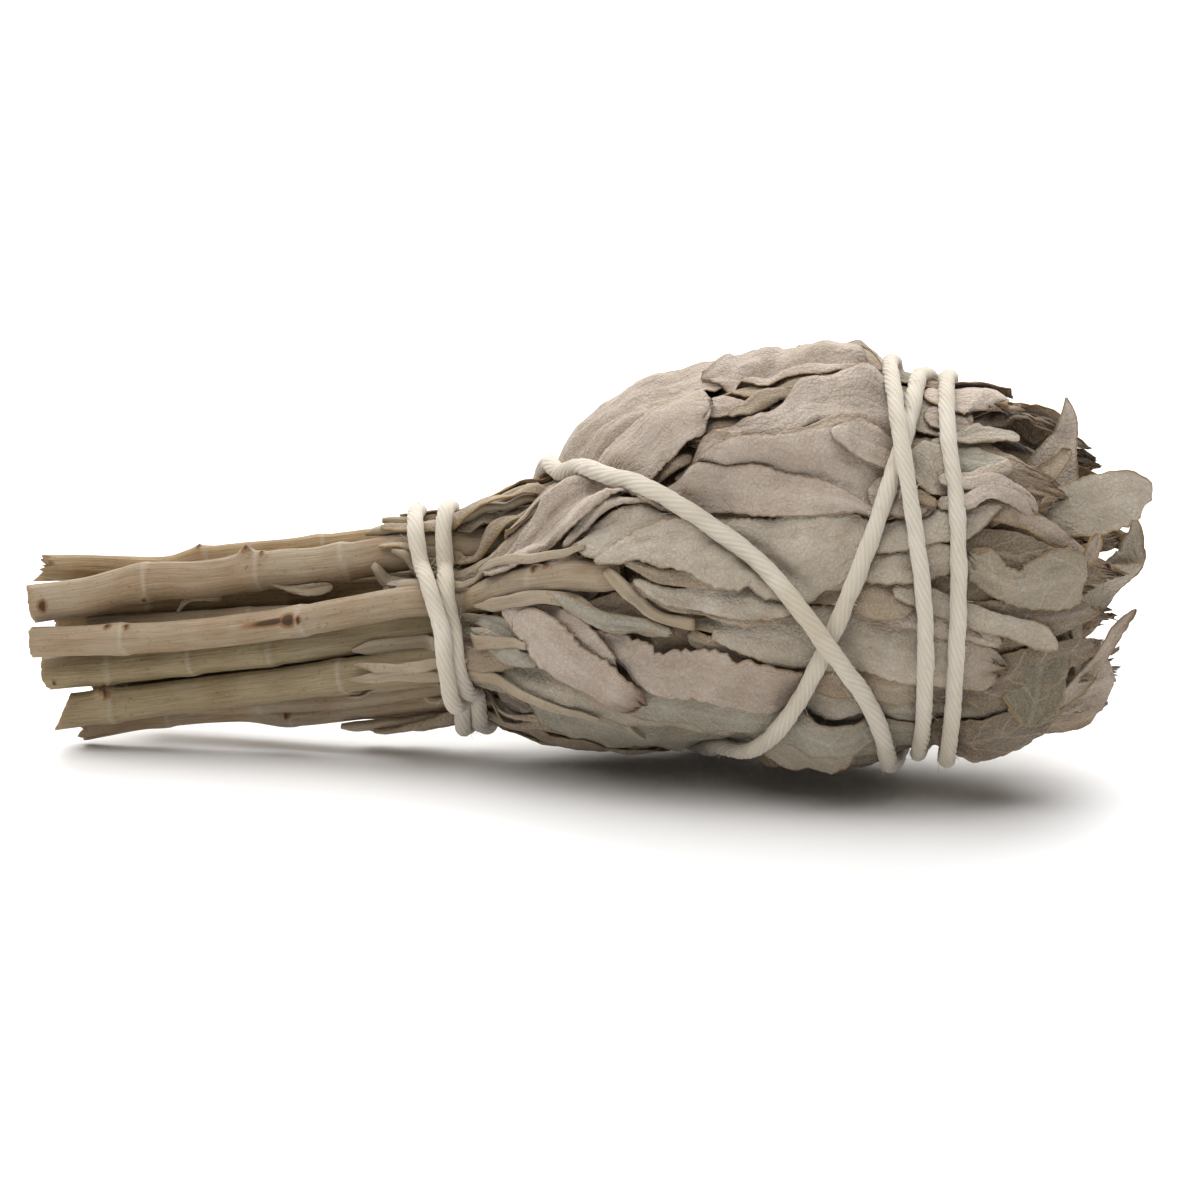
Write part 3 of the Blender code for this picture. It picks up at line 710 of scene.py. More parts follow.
# %% The outline and the bend of a leaf
SHEET = 0.26  # mm, the thickness of a dried leaf with its down
STIFF_REACH = 1.3  # mm over which a leaf bridges what is under it
DRAWN_FLAT = 0.8  # how flat the twine presses a leaf: 0 is not at all, 1 is as flat as it can be
LEAF_GAP = 0.08  # mm between a leaf and what it lies on
LEAF_STEP = 0.45  # mm between the rows of a leaf or a stalk
LEAF_COLUMNS = 2.7  # columns to each mm of half width
TORN_FROM = 0.86  # share of the length at which a torn end begins
DEEPEST = -2.5  # mm below the bed that a leaf can sink into a gap


def leaf_margins(rng, along, half, ends, ragged, bites):
    """The width of each side: half width, rounded at blunt ends, with waves, nicks and bites.

    A bite is (share of the length, side, depth, length in mm), side -1 or 1.
    """
    from_end = np.minimum(along, along[-1] - along)
    blunt = np.where(along < along[-1] / 2, *ends)
    half = np.maximum(half * np.sqrt(np.clip((from_end + 0.02) / (0.55 * blunt), 0, 1)), 0.1)
    sides = []
    for side in (-1, 1):
        nicks = ragged * (wander(rng, along, 1.1) + rng.uniform(-0.8, 0.8, len(along)))
        width = half * (1 + 0.05 * wander(rng, along, 9)) + nicks * np.minimum(1, half)
        for share, bitten, depth, size in bites:
            if bitten == side:
                width = width - depth * np.exp(-((along - share * along[-1]) / size) ** 4)
        sides.append(np.maximum(width, 0.1))
    return half, sides


def bend_across(v, half, turn):
    """Sum the cosine and the sine of the turn outwards from the midrib, times the half width."""
    middle = len(v) // 2
    made = []
    for step in (np.cos(turn), np.sin(turn) * np.sign(v)):
        total = np.cumsum((step[:, 1:] + step[:, :-1]) / 2 * np.diff(v), axis=1)
        total = np.pad(total, ((0, 0), (1, 0)))
        made.append((total - total[:, middle:middle + 1]) * half[:, None])
    return made


def bent_blade(rng, along, v, half, fold, cup, rolls, roll):
    """Turn at v = fold + cup x |v| + a smooth step to the roll angle beyond 1 - `roll`."""
    beyond = np.clip((np.abs(v) - (1 - roll)) / roll, 0, 1)
    beyond = beyond * beyond * (3 - 2 * beyond)
    turn = np.radians(fold) * np.minimum(1, np.abs(v) / 0.12) + (
        cup * (1 + 0.5 * wander(rng, along, 12)))[:, None] * np.abs(v)
    for angle, where in zip(rolls, (v < 0, v > 0)):
        turn = turn + (np.radians(angle) * (1 + 0.35 * wander(rng, along, 9)))[:, None] * (
            beyond * where)
    return bend_across(v, half, turn)


def wrinkles(rng, along, v, flat, creases, pleats, wave):
    """Sharp creases along the blade, pleats, long wrinkles, small lumps and a wavy margin."""
    s = along / along[-1]
    up = 0.07 * lumps(rng, along[:, None], flat, 5.0) + 0.05 * lumps(
        rng, along[:, None] / 3.5, flat, 1.1) + 0.02 * lumps(rng, along[:, None], flat, 1.0)
    for _ in range(creases):
        where = rng.uniform(-0.85, 0.85) + 0.08 * wander(rng, along, 10)
        fade = np.exp(-(((s - rng.uniform(0.1, 0.9)) / rng.uniform(0.15, 0.4)) ** 2))
        depth = rng.uniform(-0.36, 0.22)
        near = np.exp(-np.abs(v - where[:, None]) / rng.uniform(0.05, 0.14))
        up = up + depth * near * fade[:, None]
    count, height = pleats
    if count:
        folds = np.cos(np.pi * count * v + 0.8 * wander(rng, along, 14)[:, None])
        up = up + height * (np.abs(folds) ** 0.7 * np.sign(folds)) * np.clip(
            1.5 * (1 - s), 0, 1)[:, None]
    for where in (v > 0, v < 0):
        margin = wave * wander(rng, along, 7) + 0.3 * wave * wander(rng, along, 2.2)
        up = up + np.abs(v) ** 2.5 * margin[:, None] * where
    return up


print("a leaf is", SHEET, "mm thick")

# %% Laying a leaf
MM_PER_DEGREE = np.radians(1) * 18  # round the bundle where it is 18 mm in radius
TYPICAL_RISE = 3  # mm above the bed, where most leaves lie
HELD_REACH = 0.5  # mm over which a leaf bridges what is under it where the twine holds it
NEAR_TABLE = 1.5  # mm above the table from which a leaf flattens instead of passing through


def rest_on(under, along, across, reach):
    """The highest ground within reach, then a bell-shaped mean over the same reach."""
    near = np.abs(along[:, None] - along) < reach
    under = np.where(near[:, :, None], under[None], -1e9).max(axis=1)
    near = np.abs(across[:, None] - across) < reach
    under = np.where(near[None], under[:, None, :], -1e9).max(axis=2)
    weights = []
    for offset in (along, across):
        weight = np.exp(-2 * ((offset[:, None] - offset) / reach) ** 2)
        weights.append(weight / weight.sum(axis=1, keepdims=True))
    return weights[0] @ under @ weights[1].T


def laid_blade(line, along, flat, across, up, tear, rise, reach):
    """The blade's points: rest on what is below it, plus its own bend, drawn in at the twine."""
    radius = bed_radius(line[:, 0], line[:, 1]) + TYPICAL_RISE
    heading = unit(np.gradient(np.column_stack([line[:, 0], np.radians(line[:, 1]) * radius]),
                               axis=0))
    x = line[:, 0, None] - heading[:, 1, None] * across + heading[:, 0, None] * tear
    angle = line[:, 1, None] + np.degrees(
        (heading[:, 0, None] * across + heading[:, 1, None] * tear) / radius[:, None])
    under = np.maximum(laid.top(x, angle), DEEPEST)
    across = np.abs(flat).mean(0) * np.sign(flat[0])
    drawn = DRAWN_FLAT * drawn_in.top(x, angle)
    rest = rest_on(under, along, across, reach) * (1 - drawn) + drawn * (
        rest_on(under, along, across, HELD_REACH) + 0.5 * SHEET)
    up = (up - np.minimum(up.min(axis=1), 0)[:, None]) * (1 - 0.8 * drawn)
    points = on_bundle(x, angle, rest + up + rise[:, None] * (1 - drawn))
    low = np.minimum(points[..., 2] - NEAR_TABLE, 0)
    points[..., 2] = np.where(low < 0, NEAR_TABLE * np.exp(low / NEAR_TABLE), points[..., 2])
    return points


print("leaves bridge", 2 * STIFF_REACH, "mm, and", 2 * HELD_REACH, "mm under the twine")

# %% A whole leaf
def leaf_skin(seed, path, facing=None, fold=0.0, cup=0.12, upper=-12, lower=14, roll=0.3,
              wave=0.2, pleats=(0, 0.0), creases=5, torn=0.0, ragged=0.05, bites=(), worn=0.0,
              golden=0.0, tone=0.3, loose=0.25, reach=STIFF_REACH, fine=1.0, twist=0.0):
    """One leaf, as a closed skin round a bent sheet that is thinner at its margins.

    The path is (x, angle, half width) and the leaf is laid on the bundle, or with `facing` it
    is (x, y, z, half width) and the leaf stands free, facing that way. Across it goes v, -1 to
    1 as sin(pi t / 2), so that the columns crowd at the margins. fold, upper, lower and twist
    are in degrees; wave, pleats, ragged, torn, loose and reach in mm; the rest are shares.
    """
    rng = np.random.default_rng(seed)
    path = np.array(path, float)
    scale = np.array((1, MM_PER_DEGREE, 1) if facing is None else (1, 1, 1, 1))
    line = smooth(path * scale, 200) / scale
    places = (on_bundle(line[:, 0], line[:, 1], TYPICAL_RISE) if facing is None
              else line[:, :3])
    length = way_along(places)[-1]
    widest = path[:, -1].max()
    rows = int(np.clip(length / LEAF_STEP * fine, 20, 110))
    columns = 2 * int(np.clip(widest * LEAF_COLUMNS * fine, 5, 14)) + 1
    line = smooth(path * scale, rows) / scale
    s = np.linspace(0, 1, rows)
    along = s * length
    v = np.sin(np.linspace(-1, 1, columns) * np.pi / 2)
    half, sides = leaf_margins(rng, along, np.maximum(line[:, -1], 0.1),
                               np.maximum(path[(0, -1), -1], 0.1), ragged, bites)
    across, up = bent_blade(rng, along, v, half, fold, cup, (lower, upper), roll)
    for side, where in zip(sides, (v < 0, v > 0)):
        factor = np.where(where, (side / half)[:, None], 1)
        across, up = across * factor, up * factor
    flat = v * half[:, None]
    up = up + wrinkles(rng, along, v, flat, creases, pleats, wave)
    tear = torn * np.clip((s - TORN_FROM) / (1 - TORN_FROM), 0, 1)[:, None] ** 2 * (
        wander(rng, v * widest, 1.7) + 0.6 * rng.uniform(-1, 1, columns))
    if facing is None:
        bulge = LEAF_GAP + loose * np.clip(0.4 + 0.6 * wander(rng, along, 14), 0, 2)
        centre = laid_blade(line, along, flat, across, up, tear, bulge, reach)
    else:
        outward = np.broadcast_to(unit(np.array(facing, float)), (rows, 3))
        along_line, side, out = frames(line[:, :3], outward)
        twisted = np.radians(twist) * (s - 0.5)[:, None]
        side, out = (side * np.cos(twisted) + out * np.sin(twisted),
                     out * np.cos(twisted) - side * np.sin(twisted))
        centre = (line[:, None, :3] + side[:, None] * across[..., None]
                  + out[:, None] * up[..., None] + along_line[:, None] * tear[..., None])
    normal = unit(np.cross(np.gradient(centre, axis=0), np.gradient(centre, axis=1)))
    thin = SHEET / 2 * (1 - 0.6 * np.abs(v) ** 6) * np.clip(6 * (1.05 - s), 0.5, 1)[:, None]
    outer = centre + normal * thin[..., None]
    inner = centre - normal * thin[..., None]
    if facing is None:
        for grid in (outer, (outer[1:] + outer[:-1]) / 2, (outer[:, 1:] + outer[:, :-1]) / 2):
            laid.lay(*round_bundle(grid))
    margin = np.minimum((1 - np.abs(v)) * half[:, None], (1 - s)[:, None] * length)
    browned = worn * np.clip((s - 0.75) / 0.25, 0, 1)[:, None] + worn * np.clip(
        0.6 - margin / 0.8, 0, 1) * (0.5 + 0.5 * wander(rng, along, 6))[:, None]
    gilt = golden * np.clip(1.3 - margin / 0.24, 0, 1)
    # This mark is a random darker tone, and painted shade on leaves set high because they lie low
    # down, underneath or deep in the bundle
    tones = np.clip(tone + 0.12 * lumps(rng, along[:, None], flat, 9.0), 0, 1)
    marks = {name: np.concatenate([mark, mark[:, ::-1]], axis=1) for name, mark in
             (("rim", margin), ("worn", browned), ("golden", gilt), ("tone", tones))}
    return skin(np.concatenate([outer, inner[:, ::-1]], axis=1), along[:, None] + rng.uniform(
        0, 900), np.append(flat, flat[:, ::-1], axis=1), sharp=True, **marks)


def place_leaf(name, finish, path, **shape):
    """Lay one leaf as its own piece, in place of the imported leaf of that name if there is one.

    Its number in the scene seeds its waves.
    """
    place_leaf.number += 1
    part = leaf_skin(place_leaf.number, path, **shape)
    replaces = ["leaf_" + name] if "leaf_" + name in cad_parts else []
    make_piece("sage_leaf_" + name, [part], LEAF[finish], replaces)


place_leaf.number = 0


def lance(places, half, tip=0.0):
    """A midrib with lance-shaped half widths: half x 2.74 s^0.6 (1-s)^0.9, plus tip x s."""
    s = np.linspace(0, 1, 9)
    scale = np.array((1, 0.3))  # about 0.3 mm to a degree, to space the places evenly
    line = smooth(np.array(places, float) * scale, 9) / scale
    return np.column_stack([line, half * 2.74 * s ** 0.6 * (1 - s) ** 0.9 + tip * s + 0.15])


print("an ordinary leaf has a row every", LEAF_STEP, "mm")

# %% [markdown]
# ## The hidden heart of the bundle
# Inside the tied leaves are more leaves, and where the bundle opens at its end their tips show
# between the outer ones. The innermost stand free of each other, spread evenly round the centre
# line. Round them go rings of leaves, each ring laid further out, then a bed, and then the
# leaves round the back. Most are in darker finishes and tones, painted shade for the little
# light that reaches them inside the bundle.

# %% Free leaves in the middle
neck_core = []
for k, angle in enumerate((-60, -30, 0, 30, 60)):
    path = [(*on_bundle(np.array(x), angle, rise), half) for x, rise, half in
            ((-13, -5.5, 1.8), (-6, -4.5, 2.4), (3, -3.5, 3.2), (12, -2.5, 3))]
    turn = math.radians(angle)
    neck_core.append(leaf_skin(900 + k, path, facing=(0, -math.cos(turn), math.sin(turn)),
                               tone=0.5, fine=0.5))
# painted shade: the core leaves take the darker finish
make_piece("sage_neck_core_leaves", neck_core, LEAF["shade"])

HEART_LEAVES = 46
heart_rng = np.random.default_rng(57)
heart = []
for k in range(HEART_LEAVES):
    turn = 2.4 * k  # radians: each leaf a golden angle further round, so that they spread evenly
    away = 11.5 * math.sqrt((k + 0.5) / HEART_LEAVES)
    end = 51 - 0.2 * away + heart_rng.uniform(-4, 3)
    wide = heart_rng.uniform(2.4, 4.2)
    path = []
    for x, share, half in ((26, 0.6, 1), (35, 0.85, wide), (end - 5, 0.95, wide), (end, 1, 0.7)):
        sway = heart_rng.uniform(-0.9, 0.9, 2)
        path.append((x, -away * share * math.cos(turn) + sway[0],
                     centre_height(x) + away * share * math.sin(turn) + sway[1], half))
    look = turn + heart_rng.uniform(-0.8, 0.8)
    heart.append(leaf_skin(820 + k, path, facing=(0.2, -math.cos(look), math.sin(look)), fine=0.5,
                           tone=heart_rng.uniform(0.1, 0.9), torn=0.7, worn=0.5, wave=0.5,
                           cup=heart_rng.uniform(-0.6, 0.6), upper=heart_rng.uniform(-70, 70),
                           lower=heart_rng.uniform(-70, 70), twist=heart_rng.uniform(-60, 60)))
make_piece("sage_heart_leaves", heart, LEAF["tan"])
print(len(neck_core), "leaves inside the neck and", len(heart), "inside the open end")

# %% Rings of inner leaves and the bed
def grid_cells(first, last):
    """The x and the angle of every cell of the height map between two places along it."""
    cells = np.meshgrid(np.arange(first, last, HeightMap.STEP_X),
                        np.arange(0, 360, HeightMap.STEP_ANGLE))
    return [grid.ravel() for grid in cells]


OPEN_END = grid_cells(22, 62)
BED = grid_cells(-6, 53)
BED_PLACES = (-6, 8, 22, 34, 44, 52)  # x in mm
BED_LEVELS = (-0.2, 0.3, 1, 1.6, 1.8, 1.2)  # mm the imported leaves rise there
PRESSED_LEVELS = (-0.2, 1.1, -0.9, -1.2, -1.2, -0.6)  # and under the bundle
SHOULDER_PLACES = (-12, -6, -2, 2, 8, 14, 20, 26)  # x in mm, on top behind the neck
SHOULDER_DROPS = (0.8, 2.6, 1.4, 2.1, 2.6, 1.7, 0.7, 0)  # mm they lie lower there
# Painted shade: the inner leaves, the rings and the bed are mostly in the darker finish, at a middle
# tone
laid.lay(*OPEN_END, -9.5)
for k in range(3):
    place_leaf(f"inner_{k + 1}", "shade", lance(
        ((25, 120 * k), (38, 120 * k + 5), (51 + k, 120 * k + 8)), 3.4),
        upper=60, lower=60, tone=0.5, torn=0.6)
laid.lay(*OPEN_END, -5.5)
for k in range(5):
    place_leaf(f"ring_{k + 1}", ("tan", "shade")[k % 2], lance(
        ((25, 72 * k + 30), (38, 72 * k + 26), (54 - k % 2, 72 * k + 20)), 5, 0.8),
        tone=0.4, torn=0.8, cup=-0.4, worn=0.3, wave=0.5)
# The bed is pressed flat underneath, drops at the shoulder and rises under the topmost leaf
pressed = 1 - np.exp(-(((BED[1] - 275) / 35) ** 2))
shoulder = np.exp(-(((BED[1] - 85) / 45) ** 2)) * np.interp(BED[0], SHOULDER_PLACES,
                                                            SHOULDER_DROPS)
crown = np.exp(-(((BED[1] - 85) / 35) ** 2) - ((BED[0] - 25) / 6) ** 2)
laid.lay(*BED, np.interp(BED[0], BED_PLACES, BED_LEVELS) * pressed
         + np.interp(BED[0], BED_PLACES, PRESSED_LEVELS) * (1 - pressed)
         - shoulder + crown)
for k in range(8):
    angle = 45 * (k % 4 * 2 + k // 4) - 93
    path = ((-13, angle + 6, 2), (2, angle, 7), (20, angle - 4, 8), (38, angle, 7),
            (50 - k % 3, angle + 4, 1.5))
    place_leaf(f"bed_{k + 1}", ("shade", "tan", "shade", "green")[k % 4], path, tone=0.55,
               upper=-30, lower=-30, wave=0.4, torn=0.9, worn=0.4, fine=0.7)
print("inner rings and bed laid; highest rise", round(laid.rise.max(), 1), "mm")

# %% Small leaves between the bed and the outer leaves
# Painted shade: the small leaves take a middle tone, darker for the shade between the layers
filler_rng = np.random.default_rng(7)
fillers = []
FILLERS = 36
for k in range(FILLERS):
    angle = (360 / FILLERS * k * 11) % 360 - 90
    start = filler_rng.uniform(-10, 30)
    long = filler_rng.uniform(18, 28)
    lean = filler_rng.uniform(-14, 14)
    path = lance(((start, angle - lean), (start + long / 2, angle),
                  (min(start + long, 52), angle + lean)), filler_rng.uniform(1.8, 3.4))
    fillers.append(leaf_skin(200 + k, path, tone=0.5, upper=filler_rng.uniform(-60, 20),
                             lower=filler_rng.uniform(-60, 20), cup=filler_rng.uniform(-0.1, 0.3),
                             wave=0.3, torn=0.4, fine=0.65))
make_piece("sage_under_leaves", fillers, LEAF["tan"])
print(len(fillers), "small leaves laid")

# %% Leaves round the back
BACK_LEAVES = 24
back_rng = np.random.default_rng(12)
for k in range(BACK_LEAVES):
    angle = 264 - 164 * (k * 7 % BACK_LEAVES) / (BACK_LEAVES - 1)
    start = (-8, 10, 0, 24)[k % 4] + back_rng.uniform(-2, 4)
    long = back_rng.uniform(24, 34)
    lean = back_rng.uniform(-12, 12)
    path = lance(((start, angle + lean), (start + long / 2, angle + 2),
                  (min(start + long, 47 + 5 * back_rng.random()), angle - lean)),
                 back_rng.uniform(2.4, 4.8), back_rng.uniform(0, 1.0))
    place_leaf(f"back_{k + 1}", ("rosy", "silver", "green", "silver", "tan")[k % 5], path,
               upper=back_rng.uniform(-50, 20), lower=back_rng.uniform(-50, 20),
               cup=back_rng.uniform(0, 0.25), tone=back_rng.uniform(0.05, 0.4), torn=0.4,
               worn=back_rng.uniform(0, 0.6), fold=back_rng.uniform(-12, 12))
print(BACK_LEAVES, "leaves laid round the back; highest rise", round(laid.rise.max(), 1), "mm")

# %% [markdown]
# ## Leaf stalks
# Each leaf has a stalk about 1 mm thick, flat with a groove on its upper face. The stalks leave
# the stems at the joints, run under the twine at the neck and open into the blades. A stalk is
# an oval carried along a line on the bundle, with the groove pressed into it.

# %% Stalks and leaf bases round the neck
NECK_RADIUS = 15  # mm, near enough to space the rings of a stalk
AROUND_STALK = 14  # points round a stalk
STALK_GAP = 0.05  # mm between a stalk and what it lies on
STALK_REACH = 0.9  # mm over which it bridges what is under it
STALK_GROOVE = 0.45  # how deep its groove is, as a share of its half height


def stalk_skin(seed, path, wide, thick, ends=(0.5, 0.5), tone=0.3):
    """An oval of half width `wide` and half height `thick`, laid on the bundle.

    Up = thick x sine x (1 - groove x a bell shape in the middle of the upper face). `ends` says
    how full the first and the last ring are. It carries the same marks as a leaf does.
    """
    rng = np.random.default_rng(seed)
    scale = np.array((1, np.radians(1) * NECK_RADIUS))
    path = np.array(path, float) * scale
    line = smooth(path, 200) / scale
    length = way_along(on_bundle(line[:, 0], line[:, 1], TYPICAL_RISE))[-1]
    rows = int(np.clip(length / LEAF_STEP, 12, 90))
    x, angle = (smooth(path, rows) / scale).T
    way = np.linspace(0, length, rows)
    under = np.maximum(laid.top(x, angle), DEEPEST)[:, None]
    rise = rest_on(under, way, np.zeros(1), STALK_REACH)[:, 0] + STALK_GAP + thick + (
        0.06 * wander(rng, way, 7))
    points = on_bundle(x, angle, rise - 0.5 * DRAWN_FLAT * drawn_in.top(x, angle))
    turn = np.linspace(0, 2 * np.pi, AROUND_STALK, endpoint=False) + np.pi / AROUND_STALK
    share = way / length
    size = np.minimum(1, np.minimum(ends[0] + 8 * share, ends[1] + (1 - ends[1]) * 3 * (1 - share)))
    size = (size * (1 + 0.08 * wander(rng, way, 6)))[:, None]
    across = -np.cos(turn) * wide * size
    dent = 1 - STALK_GROOVE * np.exp(-((np.cos(turn) / 0.4) ** 2)) * (np.sin(turn) > 0)
    rings = swept(points, outward_from_axis(points), across, np.sin(turn) * thick * size * dent)
    laid.lay(*round_bundle(rings))
    marks = {name: np.full((rows, 1), value) for name, value in
             (("rim", 0.55), ("worn", 0.0), ("golden", 0.0), ("tone", tone))}
    return skin(rings, way[:, None] + rng.uniform(0, 900), turn * wide, 2 * np.pi * wide, **marks)


neck_rng = np.random.default_rng(31)
neck_stalks = []
for angle in np.arange(58, 300, 13):
    angle = angle + neck_rng.uniform(-3, 3)
    lean = neck_rng.uniform(-4, 4)
    path = ((neck_rng.uniform(-24, -18), angle - lean), (-12, angle), (1, angle + lean))
    neck_stalks.append(stalk_skin(400 + len(neck_stalks), path, neck_rng.uniform(0.6, 1.1),
                                  neck_rng.uniform(0.45, 0.7), tone=neck_rng.uniform(0, 0.4)))
make_piece("sage_neck_stalks", neck_stalks, LEAF["stalk"])
leaf_bases = []
for k, angle in enumerate(np.arange(56, 326, 13.5)):
    angle = angle + neck_rng.uniform(-4, 4)
    start = neck_rng.uniform(-23, -18)
    end = neck_rng.uniform(5, 10)
    width = neck_rng.uniform(0.8, 1.2)
    path = ((start, angle, 0.5 * width), (-8, angle, 0.8 * width), (0, angle, 1.8 * width),
            (0.6 * end, angle + 1, 2.3 * width), (end, angle + 2, 0.3))
    leaf_bases.append(leaf_skin(430 + k, path, fold=-20, cup=0.3, upper=-20, lower=-20,
                                tone=neck_rng.uniform(0, 0.25), fine=0.8, loose=0.1,
                                golden=0.7 if 55 < angle < 105 else 0,
                                wave=0.06, creases=3, ragged=0.02))
make_piece("sage_neck_leaf_bases", leaf_bases, LEAF["tan"])
print(len(neck_stalks), "stalks and", len(leaf_bases), "leaf bases round the neck")

# %% The front stem over them
STEM_END = np.array(((-10.2, 30), (-7.6, 29), (-4.2, 24), (-0.8, 18), (2.7, 15), (5.7, 12),
                     (7.6, 12)))
x, angle = STEM_END.T
AXIS_ABOVE = 0.9  # mm from the leaves to its axis: less than its radius, so it sinks in a little
rise = np.polyval(np.polyfit(x, laid.top(x, angle), 2), x) + AXIS_ABOVE
lay_stem("front", on_bundle(x, angle, rise))
print("the front stem ends", round(rise[-1], 1), "mm above the bed")

# %% [markdown]
# ## The leaves that show
# These are laid in the order in which they lie on each other, from the lowest at the front to
# the ones just under the twine. Each line gives a leaf's finish and its midrib as (x, angle,
# half width), and then only what is special about it: a fold along the midrib, pleats, margins
# rolled under (negative degrees) or outward, a torn, bitten or browned end.

# %% The lower front leaves
def lay_leaves(rows):
    """Lay a table of leaves in its order."""
    for name, finish, path, shape in rows:
        place_leaf(name, finish, path, **shape)
    print("laid", ", ".join(row[0] for row in rows))


# Painted shade: the bottom leaves get a high tone, darker for the shade under the bundle
LOWEST = (
    ("crest_back", "rosy",
     ((-4, 98, 1), (0, 93, 3.4), (5, 92, 5), (12, 97, 4.5), (19, 96, 2.5)),
     dict(pleats=(5, 0.15), upper=-20, tone=0.2)),
    ("bottom_thin", "tan",
     ((14, -58, 2), (22, -59, 3), (30, -60, 3.2), (37, -60, 3), (43, -60, 2.4), (47, -58, 1.2)),
     dict(tone=1, torn=0.5, worn=0.4, loose=0.02, lower=-40)),
    ("bottom_long", "green",
     ((8, -50, 1.5), (20, -51, 3), (32, -51, 3.2), (43, -49, 2.6), (48, -48, 1.2)),
     dict(tone=1, torn=0.4, loose=0.02, upper=-30, lower=-40)),
    ("low_band_2", "green",
     ((16, -42, 1.5), (21, -41, 2.9), (27, -39, 2.7), (32, -40, 3.1), (38, -43, 3.2),
      (44, -46, 2.7), (47, -48, 1.2)), dict(upper=-70, tone=0.6)),
    ("low_band", "silver",
     ((20, -26, 1.4), (24, -27, 2), (30, -26, 2.1), (34.5, -27, 2.1), (39, -29, 1.9),
      (44, -31, 1.5), (47, -33, 0.8)),
     dict(tone=0.5, upper=-60, pleats=(3, 0.15), ragged=0.1)),
    ("grey_under", "tan",
     ((14, -10, 0.8), (20, -15, 1.5), (25, -18, 1.6), (30, -21, 1.8), (35, -23, 1.8),
      (42, -26, 1.2), (46, -28, 0.5)), dict(tone=0.35)),
    # painted shade: these end leaves are dark sheets in the gaps of the open end
    ("end_low", "shade", ((36, -24, 2), (44, -22, 2.6), (50, -16, 1.8), (53, -12, 0.6)),
     dict(tone=0.3, torn=0.5)),
    ("end_lower", "shade", ((37, -44, 2), (44, -42, 2.6), (49, -36, 1.8), (52, -32, 0.6)),
     dict(tone=0.3, torn=0.5)),
    ("end_middle", "shade", ((36, -4, 2), (44, -3, 2.4), (50, 0, 1.6), (53, 2, 0.5)),
     dict(tone=0.3, torn=0.5)),
    ("end_high", "shade", ((36, 22, 2), (44, 20, 2.4), (50, 17, 1.6), (53, 15, 0.5)),
     dict(tone=0.3, torn=0.5)),
    ("yellow_rib", "green",
     ((-9, -23, 0.6), (-3, -29, 1.6), (1, -38, 3.4), (5, -45, 4.3), (9.5, -53, 4.8),
      (14.5, -57, 4.2), (20, -60, 2.5)), dict(tone=0.6, fold=-8)),
)
lay_leaves(LOWEST)
make_piece("sage_leaf_yellow_rib_midrib", [stalk_skin(
    480, ((-8.5, -16), (-4.2, -21), (-0.5, -27), (3, -32), (6, -39), (9, -50)), 0.6, 0.35,
    ends=(1, 0.35), tone=0.1)], LEAF["stalk"])

